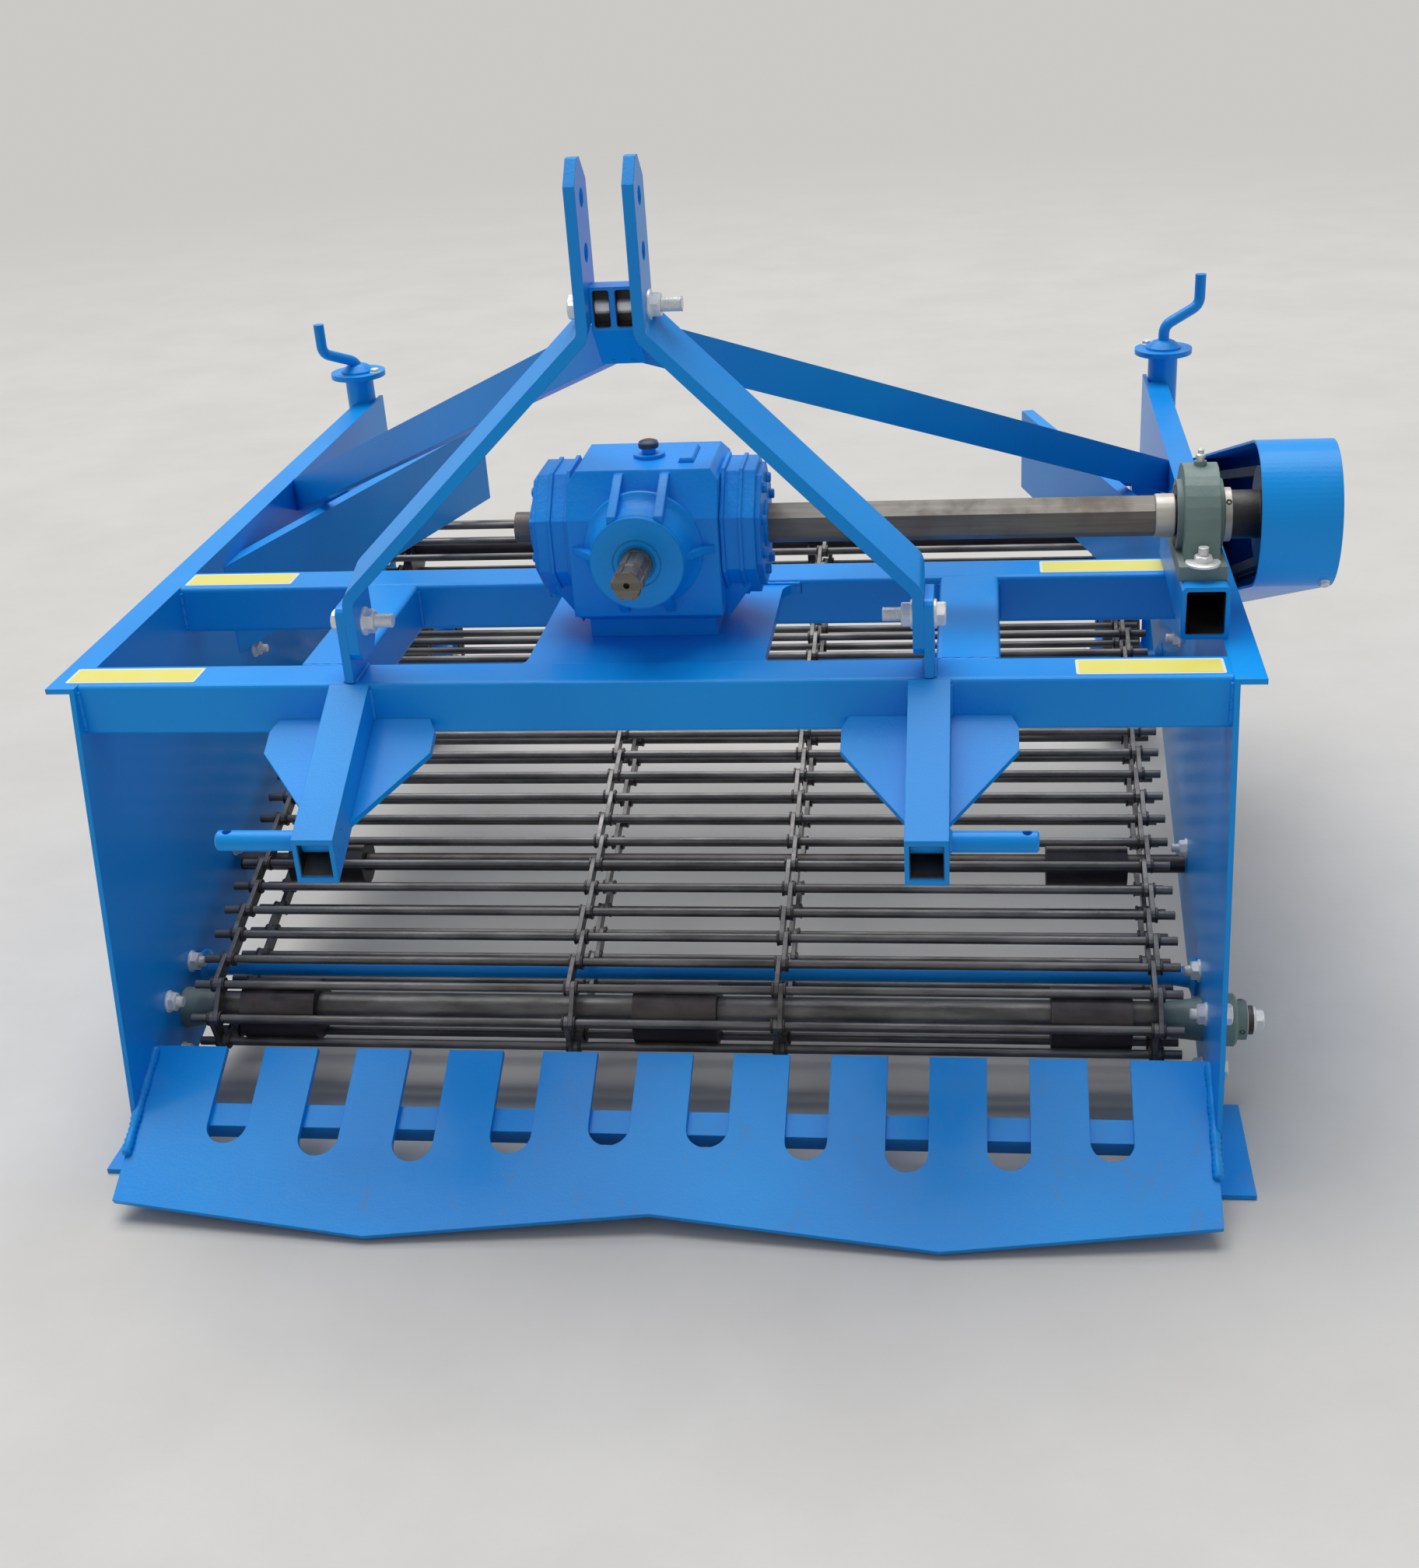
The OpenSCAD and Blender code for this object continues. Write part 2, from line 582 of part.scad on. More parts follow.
module pillow_block() {
    base_y = [shaft_y - 82, shaft_y + 82];
    base_z = frame_top + stand_h;
    w = 19;
    color(cast_green) place() difference() {
        union() {
            block(bearing_x - 26, bearing_x + 26, base_y[0], base_y[1], base_z, base_z + 16);
            side_plate(bearing_x - w, bearing_x + w, concat(arc([shaft_y, axis_z], 58, 0, 180, 14),
                [[shaft_y - 66, base_z + 14], [shaft_y + 66, base_z + 14]]));
            bar_x(bearing_x - w - 6, bearing_x + w + 6, shaft_y, axis_z, 40);
            bar_z(axis_z + 50, axis_z + 62, bearing_x, shaft_y, 7);
        }
        bar_x(bearing_x - w - 7, bearing_x - w - 2, shaft_y, axis_z, 34);
        bar_x(bearing_x + w + 2, bearing_x + w + 7, shaft_y, axis_z, 34);
        bar_x(bearing_x - w - 3, bearing_x + w + 3, shaft_y, axis_z, shaft_r + run_fit);
        for (s = [-1, 1]) bar_z(base_z - 1, base_z + 17, bearing_x, shaft_y + s * 72, 7);
    }
}

module bearing_stand() {
    ys = [front_beam_y[1] + 44, rear_beam_y[1]];
    color(paint) place() difference() {
        front_plate(ys[0], ys[1], round_box(out_x - stand_w, out_x, frame_top, frame_top + stand_h, tube_r));
        front_plate(ys[0] - 1, ys[1] + 1, round_box(out_x - stand_w + wall, out_x - wall, frame_top + wall,
            frame_top + stand_h - wall, tube_r / 2));
    }
}

module drive_guard() {
    r = [pulley_r + guard_gap, driven_r + guard_gap - 8];
    color(paint) place() union() {
        difference() {
            side_plate(pulley_x, pulley_x + guard_w + guard_t,
                loop_outline(drive_c, r[0] + guard_t, rear_c, r[1] + guard_t, 40));
            side_plate(pulley_x - 1, pulley_x + guard_w, loop_outline(drive_c, r[0], rear_c, r[1], 40));
        }
        for (t = [0.45, 0.75])
            bar_x(out_x, pulley_x + guard_w, drive_c[0] + t * (rear_c[0] - drive_c[0]),
                drive_c[1] + t * (rear_c[1] - drive_c[1]), 11);
    }
}

// conveyor
module web_rods() {
    rod_x = in_x - rod_end_gap;
    color(dark_steel) place() for (i = [0:rods - 1])
        bar_x(-rod_x, rod_x, web_rod(i)[0], web_rod(i)[1], rod_r);
}

// outline of a link plate from one rod to the next
function link_outline(a, b) =
    let (t = atan2(b[1] - a[1], b[0] - a[0]))
    concat(arc(a, link_r, t + 90, t + 270, 6), arc(b, link_r, t - 90, t + 90, 6));

module link_strand(x) {
    for (i = [0:rods - 1]) {
        a = web_rod(i);
        b = web_rod((i + 1) % rods);
        lane = x + (i % 2) * (link_t + 0.3);
        difference() {
            side_plate(lane, lane + link_t, link_outline(a, b));
            for (c = [a, b]) bar_x(lane - 1, lane + link_t + 1, c[0], c[1], rod_r + run_fit);
        }
    }
}
module web_links_outer() {
    color(dark_steel) place() for (x = strands_out) link_strand(x);
}
module web_links_inner() {
    color(dark_steel) place() for (x = strands_in) link_strand(x);
}

// columns: middle of a drum, its length
drums = [[-strand_out + 77, 96], [0, 104], [strand_out - 77, 96]];
carrier_r = 12;                           // carrier shafts
module front_roller() {
    color(dark_steel) place() bar_x(-shaft_end, shaft_end, front_c[0], front_c[1], axle_r);
}

module carrier_shafts() {
    color(dark_steel) place() for (k = carriers)
        bar_x(-out_x, out_x, on_run(k[0], k[1])[0], on_run(k[0], k[1])[1], carrier_r);
}

// a drum is pressed on its shaft: bore and shaft have one radius
module drum(x, len, c, r, bore) {
    difference() {
        bar_x(x - len / 2, x + len / 2, c[0], c[1], r);
        bar_x(x - len / 2 - 1, x + len / 2 + 1, c[0], c[1], bore);
    }
}
module roller_drums() {
    color(dark_steel) place() union() {
        for (d = drums) drum(d[0], d[1], front_c, drum_r, axle_r);
        for (k = carriers) for (s = [-1, 1])
            drum(s * (strand_out - 72), 104, on_run(k[0], k[1]), k[2], carrier_r);
    }
}

module rear_shaft() {
    color(dark_steel) place()
        bar_x(-shaft_end, belt_x[1] + belt_w + 14, rear_c[0], rear_c[1], axle_r);
}

// six-pocket wheels that carry the web at its upper end, beside the strands
module web_wheels() {
    color(dark_steel) place() for (x = [-strand_out + 20, -strand_in + 18, strand_in - 28, strand_out - 30])
        difference() {
            bar_x(x, x + 12, rear_c[0], rear_c[1], path_r + 3);
            bar_x(x - 1, x + 13, rear_c[0], rear_c[1], axle_r);
            for (i = [0:5]) {
                c = turn(rear_c, 90 - 60 * i);
                bar_x(x - 1, x + 13, c[0], c[1], rod_r + 0.3);
            }
        }
}

module cross_ties() {
    color(paint) place() for (k = ties) {
        c = on_run(k[0], k[1]);
        bar_x(-in_x, in_x, c[0], c[1], k[2]);
    }
}

// four-bolt bearings: a square flange outside the panel, its hub, and a tapered boss inside
flange_r = 54;
flange_t = 12;
hub_r = 32;
hub_in_r = 26;                            // boss where it passes the panel
hub_out = 34;                             // reach of the hub outside the panel
collar_w = 12;                            // locking collar on the shaft's end
shaft_end = out_x + hub_out + collar_w + 8;
bearing_turn = 6;
// a bearing's body as [radius, x] points
function bearing_body(b, collar) = concat([[b, in_x - 50], [21, in_x - 50], [hub_in_r, in_x - 2],
    [hub_in_r, out_x], [hub_r, out_x], [hub_r, out_x + hub_out - 3], [hub_r - 3, out_x + hub_out]],
    collar ? [[24, out_x + hub_out], [24, out_x + hub_out + collar_w], [b, out_x + hub_out + collar_w]] :
    [[b, out_x + hub_out]]);

module bearing(s, c, collar) {
    b = axle_r + run_fit;
    translate([0, c[0], c[1]]) difference() {
        union() {
            rotate([0, s * 90, 0]) rotate_extrude() polygon(bearing_body(b, collar));
            rotate([bearing_turn, 0, 0]) side_plate(s * out_x, s * (out_x + flange_t),
                round_box(-flange_r, flange_r, -flange_r, flange_r, 14));
        }
        bar_x(s * (out_x - 1), s * (out_x + flange_t + 1), 0, 0, b);
    }
}
module shaft_bearings() {
    color(cast_green) place() union() {
        for (s = [-1, 1]) bearing(s, front_c, true);
        bearing(-1, rear_c, true);
        bearing(1, rear_c, false);
    }
}

// share
share_u = [share_len, share_len + point_len];
point_x = 328;
// length of the share at x, along its slope
function share_at(x) = abs(x) < point_x ? share_len + point_len * abs(x) / point_x :
    share_len + point_len * (in_x - abs(x)) / (in_x - point_x);

module on_share() {
    translate([0, share_rear_y, share_z]) rotate([share_slope, 0, 0]) children();
}

module share() {
    color(paint) place() on_share() difference() {
        translate([0, 0, -share_t]) linear_extrude(share_t) polygon([[-in_x, 0], [-in_x, -share_len],
            [-point_x, -share_u[1]], [0, -share_len], [point_x, -share_u[1]], [in_x, -share_len], [in_x, 0]]);
        for (i = [0:slots - 1]) {
            x = (i - (slots - 1) / 2) * slot_pitch;
            u = share_at(x) - slot_rest - slot_w / 2;
            translate([x, -u, -share_t - 1]) cylinder(h = share_t + 2, r = slot_w / 2);
            translate([x - slot_w / 2, -u, -share_t - 1]) cube([slot_w, u + 1, share_t + 2]);
        }
    }
}

module share_tube_bar() {
    color(paint) place() on_share() difference() {
        translate([-in_x, -103, -share_t - share_tube]) cube([2 * in_x, share_tube, share_tube]);
        translate([-in_x - 1, -100, -share_t - share_tube + 3])
            cube([2 * in_x + 2, share_tube - 6, share_tube - 6]);
    }
}

// gathering plates over the web's upper end
gather = [[in_x, 470], [440, 1150]];      // [x, y] of a plate's front and rear ends
gather_z = [frame_top - 150, frame_top - 25];
module gather_plates() {
    d = gather[1] - gather[0];
    color(paint) place() for (s = [-1, 1]) intersection() {
        translate([s * gather[0][0], gather[0][1], 0])
            rotate([0, 0, s > 0 ? atan2(d[1], d[0]) : 180 - atan2(d[1], d[0])])
            union() {
                translate([-40, -s * 2 - 2, gather_z[0]]) cube([norm(d) + 40, 4, gather_z[1] - gather_z[0]]);
                translate([-40, s > 0 ? -18 : 4, gather_z[1] - 4]) cube([norm(d) + 40, 14, 4]);
            }
        block(-in_x, in_x, 0, 2000, 0, 2000);
    }
}

module gather_stays() {
    y = 918;
    x = gather[0][0] + (gather[1][0] - gather[0][0]) * (y - gather[0][1]) / (gather[1][1] - gather[0][1]) + 6;
    color(paint) place() for (s = [-1, 1]) union() {
        bar_x(s * x, s * in_x, y, frame_top - 70, 9);
        block(s * (in_x - 40), s * in_x, y - 20, y + 20, frame_top - 92, frame_top - 48);
    }
}

// depth wheels at the rear
module depth_columns() {
    color(paint) place() for (s = [-1, 1]) difference() {
        union() {
            bar_z(column_z[0], column_z[1], s * column_x, column_y, column_r);
            bar_z(column_z[1], column_z[1] + 8, s * column_x, column_y, disc_r);
            for (z = [column_z[0] + 70, frame_top - 90])
                block(s * out_x, s * column_x, column_y - 16, column_y + 16, z, z + 50);
        }
        bar_z(column_z[0] - 1, column_z[1] - 6, s * column_x, column_y, leg_r + 0.3);
        bar_z(column_z[1] - 7, column_z[1] + 9, s * column_x, column_y, screw_r + run_fit);
    }
}

// a quarter bend in the XZ plane about the origin, from one angle on
module bend(r, rod, from) {
    rotate([90, 0, 0]) rotate([0, 0, from]) rotate_extrude(angle = 90) translate([r, 0]) circle(r = rod);
}

module depth_cranks() {
    r = 16;
    rod = 7;
    color(paint) place() for (i = [0, 1]) {
        h = crank_lift[i];
        translate([(2 * i - 1) * column_x, column_y, column_z[1] + 8]) rotate([0, 0, crank_turn[i]]) union() {
            bar_z(screw_z - column_z[1] - 8, 0, 0, 0, screw_r);
            bar_z(0, 10, 0, 0, 16);
            bar_z(10, h - r, 0, 0, rod);
            translate([r, 0, h - r]) bend(r, rod, 90);
            bar_x(r, crank_arm - r, 0, h, rod);
            translate([crank_arm - r, 0, h + r]) bend(r, rod, 270);
            bar_z(h + r, h + 62, crank_arm, 0, rod);
        }
    }
}

module wheel_leg(s) {
    color(paint) place() difference() {
        union() {
            bar_z(wheel_r - 26, leg_top, s * column_x, column_y, leg_r);
            bar_x(s * (wheel_x - wheel_w / 2 - 14), s * column_x, column_y, wheel_r, axle_stub_r);
        }
        bar_z(leg_bore_z, leg_top + 1, s * column_x, column_y, leg_bore_r);
    }
}
module wheel_leg_left() { wheel_leg(-1); }
module wheel_leg_right() { wheel_leg(1); }

rim_r = wheel_r - 42;
module wheel(s) {
    color(paint) place() translate([s * wheel_x, column_y, wheel_r]) rotate([0, 90, 0]) rotate_extrude()
        polygon([[axle_stub_r + run_fit, -wheel_w / 2 - 6], [24, -wheel_w / 2 - 6], [24, -4], [rim_r - 5, -4],
            [rim_r - 5, -wheel_w / 2 + 4], [rim_r, -wheel_w / 2 + 4], [rim_r, wheel_w / 2 - 4],
            [rim_r - 5, wheel_w / 2 - 4], [rim_r - 5, 4], [24, 4], [24, wheel_w / 2 + 6],
            [axle_stub_r + run_fit, wheel_w / 2 + 6]]);
}
module wheel_left() { wheel(-1); }
module wheel_right() { wheel(1); }

module tyre(s) {
    color(rubber) place() translate([s * wheel_x, column_y, wheel_r]) rotate([0, 90, 0]) rotate_extrude()
        polygon([[rim_r, -wheel_w / 2], [wheel_r - 8, -wheel_w / 2], [wheel_r, -wheel_w / 2 + 12],
            [wheel_r, wheel_w / 2 - 12], [wheel_r - 8, wheel_w / 2], [rim_r, wheel_w / 2]]);
}
module tyre_left() { tyre(-1); }
module tyre_right() { tyre(1); }

side_panel_left();
side_panel_right();
front_beam();
rear_beam();
frame_rails();
gearbox_bed();
hitch_bars();
hitch_lugs();
hitch_braces();
lower_arms();
arm_gussets();
hitch_pins();
gearbox_case();
input_shaft();
cross_shaft();
drive_pulley();
pillow_block();
bearing_stand();
drive_guard();
drive_belts();
driven_pulley();
rear_shaft();
web_wheels();
web_rods();
web_links_outer();
web_links_inner();
front_roller();
carrier_shafts();
roller_drums();
cross_ties();
shaft_bearings();
share();
share_tube_bar();
gather_plates();
gather_stays();
depth_columns();
depth_cranks();
wheel_leg_left();
wheel_leg_right();
wheel_left();
wheel_right();
tyre_left();
tyre_right();
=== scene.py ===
"""Looks of a mounted potato digger: blue enamel, rolled rods, fasteners, welds and labels.

Places are given as on the drawing: millimetres, x from the digger's middle plane, y back from the
side panels' upper front corners, z up from the ground. at() turns them into the frame's metres.
"""

import bpy
import bmesh
import json
from math import atan2, cos, pi, radians, sin, sqrt, tan
from mathutils import Matrix, Vector


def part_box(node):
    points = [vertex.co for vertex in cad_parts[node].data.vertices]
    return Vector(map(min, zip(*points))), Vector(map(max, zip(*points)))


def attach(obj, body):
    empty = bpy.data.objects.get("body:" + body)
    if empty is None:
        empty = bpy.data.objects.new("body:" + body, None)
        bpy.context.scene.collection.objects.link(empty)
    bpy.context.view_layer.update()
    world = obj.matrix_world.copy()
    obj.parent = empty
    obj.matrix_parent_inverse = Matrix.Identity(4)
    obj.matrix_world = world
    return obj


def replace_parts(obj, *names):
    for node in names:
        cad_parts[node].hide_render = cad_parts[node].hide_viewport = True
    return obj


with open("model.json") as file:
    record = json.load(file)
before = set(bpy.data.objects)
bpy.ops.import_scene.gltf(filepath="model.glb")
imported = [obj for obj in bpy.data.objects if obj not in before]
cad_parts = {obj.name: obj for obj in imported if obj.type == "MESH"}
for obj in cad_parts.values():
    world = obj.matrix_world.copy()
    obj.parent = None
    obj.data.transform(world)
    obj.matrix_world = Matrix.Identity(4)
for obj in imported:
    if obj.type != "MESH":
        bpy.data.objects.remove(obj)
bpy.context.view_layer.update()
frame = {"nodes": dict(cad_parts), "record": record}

beam_low, beam_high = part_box("front_beam")
MIDDLE_X = (beam_low.x + beam_high.x) / 2
BEAM_Y = 8
CORNER_Y = beam_low.y - BEAM_Y / 1000


def at(x, y, z):
    return Vector((MIDDLE_X + x / 1000, CORNER_Y + y / 1000, z / 1000))


# side panels, cross beams, lengthwise rails and the gearbox's plate
IN_X, OUT_X, TOP = 636, 642, 600
BEAM, REAR_BEAM_Y = 60, 322
RAIL_X, RAIL_W = 360, 70
BED_W, BED_Z, BED_T = 270, 594, 12
# lower arms, which fall forward; their hollow's floor and roof are measured from the beams' top
ARM_X, ARM_TIP_Y, ARM_W = (296.5, 341.5), -178, 45
ARM_DROP, ARM_REACH = 97, 186
ARM_FALL = ARM_DROP / ARM_REACH
ARM_VERT = ARM_W / cos(atan2(ARM_DROP, ARM_REACH))
ARM_HOLLOW_Z = (TOP - 44.5, TOP - 6.2)
# hitch bars, their lugs, and the mouths of the braces between them
FOOT_X, LUG_T, LUG_BOLT_Z = 302, 10, 662
BAR_X, BAR_Y, BAR_T, BAR_MID = 23.5, (10, 70), 12, 40
BRACE_BOLT = (83, 988)
MOUTH_X, MOUTH_Y, MOUTH_HALF = (3.2, 20.3), (70.5, 82.6), 18.8
# gearbox, and the cross shaft: its axis, the hexagon's end, the collar beside it, the pulley's hub
SHAFT_Y, AXIS_Z = 215, 708
CASE_X, CASE_Y, CASE_TOP, COVER_W = 85, 85, 790, 45
NOSE_Y, BREATHER_Z = 82, 801
HEX_END, SHAFT_COLLAR_R, PULLEY_HUB_R = 566, 22, 27
# pillow block on its tube stand; the guard's outer face and the places of its spacers along the drive
BEARING_X, BASE_Z, BASE_BOLT, DOME_Z = 614, 676, 72, 769.5
STAND_X, STAND_Y, STAND_Z = (590, 642), (112, 382), (600, 660)
GUARD_X, SPACERS = 758, (0.45, 0.75)
# from a square tube's outside to the painted-shade lining of its open end
TUBE_IN = 5.2
# rod web: its run from the front shaft to the rear one, rods and strands of link plates
SLOPE = radians(16.26)
ROLLER, RUN, RUN_LINKS = (105, 112), 1000, 23
PITCH = RUN / RUN_LINKS
ROD_R, LINK_T = 5.5, 5.5
STRANDS = (-587.5, -134.5, 123.5, 576.5)
# shafts and tubes across the web: distance along the run, height over the line of centres
CARRIERS, TIES = ((262, 3), (600, 3)), ((72, -4), (690, 0))
AXLE_R, TUBE_R, TUBE_END = 17.5, 21.2, 584
# small bolts through the panels, as (y, z)
SMALL_BOLTS = ((338, 221), (525, 436))
# flanged bearings, from the flange's face outwards
FLANGE_FACE, HUB_FACE, COLLAR_FACE, SHAFT_END = 654, 676, 688, 696
BEARING_TURN, BOLT_REACH, HUB_R, COLLAR_R, BOSS = radians(6), 41.5, 32, 24, 50
RING_R = AXLE_R + 0.1
# depth columns with their caps and brackets
COLUMN_X, COLUMN_Y, COLUMN_R, CAP_Z, CAP_T = 665, 1237, 23, 640, 8
BRACKETS_Z, BRACKET_HALF = (400, 450, 510, 560), 16
# cranks: length of the screw, reach and height of the grip, radius of the rod and of its bends
SCREW, CRANK_REACH, CRANK_HIGH, CRANK_R, CRANK_BEND = 198, 62, 62, 8.6, 20
# depth wheels
WHEEL_X, WHEEL_R, WHEEL_W, RIM_R = 607, 130, 60, 88
# share, and the run of the weld along each of its ends
SHARE_Y, SHARE_Z, SHARE_SLOPE, SHARE_WELD = 3, 121, radians(27), 150


def on_run(t, height):
    """A place along the rod web's run, as (y, z)."""
    return (ROLLER[0] + t * cos(SLOPE) - height * sin(SLOPE),
            ROLLER[1] + t * sin(SLOPE) + height * cos(SLOPE))


REAR = on_run(RUN, 0)


def round_end(centre, angle):
    """A rod's place round an end of the loop, the angle measured from the run."""
    a = SLOPE + angle
    return centre[0] + PITCH * cos(a), centre[1] + PITCH * sin(a)


def web_rods():
    """The places of the 52 rods along the loop, as (y, z)."""
    rods = [on_run(i * PITCH, PITCH) for i in range(RUN_LINKS + 1)]
    rods += [round_end(REAR, radians(90 - 60 * i)) for i in (1, 2)]
    rods += [on_run(RUN - i * PITCH, -PITCH) for i in range(RUN_LINKS + 1)]
    rods += [round_end(ROLLER, radians(-90 - 60 * i)) for i in (1, 2)]
    return rods


# shader arithmetic
class Field:
    """A value that varies over a surface, with the arithmetic to combine it with others."""

    def __init__(self, finish, socket):
        self.finish, self.socket = finish, socket

    def combined(self, operation, first, second=0.0):
        return self.finish.node("ShaderNodeMath", {"operation": operation}, {0: first, 1: second})

    def __add__(self, other):
        return self.combined("ADD", self, other)

    def __sub__(self, other):
        return self.combined("SUBTRACT", self, other)

    def __rsub__(self, other):
        return self.combined("SUBTRACT", other, self)

    def __mul__(self, other):
        return self.combined("MULTIPLY", self, other)

    __radd__ = __add__
    __rmul__ = __mul__

    def at_most(self, other):
        return self.combined("MINIMUM", self, other)

    def step(self, low, high):
        """0 below low, 1 above high and a soft ramp between."""
        return self.finish.node("ShaderNodeMapRange", {"interpolation_type": "SMOOTHSTEP"},
                                {"Value": self, "From Min": low, "From Max": high})


class Bench:
    """A node tree, cleared, with one way to add a node."""

    def __init__(self, tree):
        self.tree = tree
        tree.nodes.clear()

    def feed(self, socket, value):
        if isinstance(value, Field):
            self.tree.links.new(value.socket, socket)
        elif isinstance(value, tuple) and len(value) == 3 and socket.type == "RGBA":
            socket.default_value = (*value, 1.0)
        else:
            socket.default_value = value

    def node(self, kind, settings=None, sockets=None, out=0):
        node = self.tree.nodes.new(kind)
        for key, value in (settings or {}).items():
            setattr(node, key, value)
        for key, value in (sockets or {}).items():
            self.feed(node.inputs[key], value)
        return Field(self, node.outputs[out]) if node.outputs else node

    def plainly_seen(self):
        """1 for what the camera, a reflection or clear glass looks at, 0 for light on the digger."""
        rays = [self.node("ShaderNodeLightPath", out=f"Is {kind} Ray")
                for kind in ("Camera", "Glossy", "Transmission")]
        return (rays[0] + rays[1] + rays[2]).at_most(1.0)


class Finish(Bench):
    """One material: a principled shader and the nodes that vary it."""

    def __init__(self, name, **sockets):
        self.material = bpy.data.materials.new(name)
        self.material.use_nodes = True
        super().__init__(self.material.node_tree)
        shader = self.node("ShaderNodeBsdfPrincipled")
        self.shader = shader.socket.node
        self.output = self.node("ShaderNodeOutputMaterial", {}, {0: shader})
        self.set(**{key.replace("_", " ").title().replace("Ior", "IOR"): value
                    for key, value in sockets.items()})
        self.place = self.node("ShaderNodeTexCoord", out="Object")
        surface = self.node("ShaderNodeNewGeometry", out="Normal")
        self.normal = surface
        self.up = self.node("ShaderNodeSeparateXYZ", {}, {0: surface}, out="Z")
        self.height = self.node("ShaderNodeSeparateXYZ", {}, {0: self.place}, out="Z")

    def set(self, **values):
        for key, value in values.items():
            self.feed(self.shader.inputs[key], value)

    def noise(self, scale, detail=3.0, roughness=0.5, stretch=None, seed=0.0):
        place = self.place
        if stretch or seed:
            place = self.node("ShaderNodeMapping", {}, {"Vector": place, "Location": (seed, seed, seed),
                                                        "Scale": stretch or (1.0, 1.0, 1.0)})
        return self.node("ShaderNodeTexNoise", {}, {"Vector": place, "Scale": scale, "Detail": detail,
                                                    "Roughness": roughness})

    def mix(self, factor, first, second):
        return self.node("ShaderNodeMix", {"data_type": "RGBA"}, {0: factor, 6: first, 7: second}, out=2)

    def rounded(self, radius):
        return self.node("ShaderNodeBevel", {"samples": 4}, {"Radius": radius})

    def edges(self, radius):
        """Near 1 along outer and inner edges, 0 on open faces."""
        flat = self.node("ShaderNodeVectorMath", {"operation": "DOT_PRODUCT"},
                         {0: self.rounded(radius), 1: self.normal}, out="Value")
        return (1 - flat).step(0.02, 0.22)

    def bump(self, height, distance, normal=None, strength=1.0):
        sockets = {"Height": height, "Distance": distance, "Strength": strength}
        if normal is not None:
            sockets["Normal"] = normal
        return self.node("ShaderNodeBump", {}, sockets)

    def dress(self, colour, roughness=None, normal=None, metallic=None):
        self.feed(self.shader.inputs["Base Color"], colour)
        if roughness is not None:
            self.feed(self.shader.inputs["Roughness"], roughness)
        if metallic is not None:
            self.feed(self.shader.inputs["Metallic"], metallic)
        if normal is not None:
            self.feed(self.shader.inputs["Normal"], normal)
        return self.material


# finishes
BLUE, DEEP_BLUE, PALE_BLUE = (0.003, 0.325, 0.88), (0.002, 0.27, 0.79), (0.04, 0.45, 0.95)
DUST = (0.46, 0.42, 0.36)


def blue_enamel():
    """Sprayed enamel: slight clouds, fine orange peel, thin at the edges, dust on what faces up."""
    paint = Finish("blue_enamel", specular_ior_level=0.2, coat_weight=0.08, coat_roughness=0.14)
    clouds = paint.noise(2.6, 2.0)
    specks = paint.noise(95.0, 4.0, 0.6, seed=3.1)
    edge = paint.edges(0.0022) * paint.noise(38.0, 3.0, 0.65).step(0.42, 0.66)
    pale_tops = paint.up.step(0.25, 0.95) * paint.noise(6.5, 5.0, 0.62, seed=1.7).step(0.44, 0.78)
    low = 1 - paint.height.step(0.0, 0.16)
    scuff = low * paint.noise(24.0, 5.0, 0.7, stretch=(1.0, 0.35, 1.0)).step(0.56, 0.74)
    colour = paint.mix(clouds.step(0.34, 0.68), DEEP_BLUE, BLUE)
    colour = paint.mix(specks.step(0.62, 0.8) * 0.14, colour, PALE_BLUE)
    colour = paint.mix(edge * 0.5, colour, PALE_BLUE)
    colour = paint.mix(pale_tops * 0.07, colour, DUST)
    colour = paint.mix(scuff * 0.35, colour, (0.22, 0.21, 0.20))
    peel = paint.noise(330.0, 2.0) * 0.6 + paint.noise(62.0, 2.0) * 0.4
    normal = paint.bump(peel, 0.00035, paint.rounded(0.0016))
    return paint.dress(colour, 0.3 + clouds * 0.1 + pale_tops * 0.2 + scuff * 0.2, normal)


def cast_enamel():
    """The same enamel over a sand casting, whose grain shows through."""
    paint = Finish("cast_enamel", specular_ior_level=0.22, coat_weight=0.08, coat_roughness=0.2)
    clouds = paint.noise(5.0, 2.0)
    grain = paint.noise(160.0, 4.0, 0.6)
    edge = paint.edges(0.003) * paint.noise(30.0).step(0.42, 0.66)
    pale_tops = paint.up.step(0.3, 0.95) * paint.noise(14.0, 5.0, 0.6).step(0.44, 0.76)
    colour = paint.mix(clouds.step(0.32, 0.7), DEEP_BLUE, BLUE)
    colour = paint.mix(edge * 0.45, colour, PALE_BLUE)
    colour = paint.mix(pale_tops * 0.08, colour, DUST)
    lumps = grain * 0.5 + paint.noise(48.0, 3.0, 0.55, seed=5.0) * 0.8
    normal = paint.bump(lumps, 0.0011, paint.rounded(0.0032))
    return paint.dress(colour, 0.34 + grain * 0.16 + pale_tops * 0.25, normal)


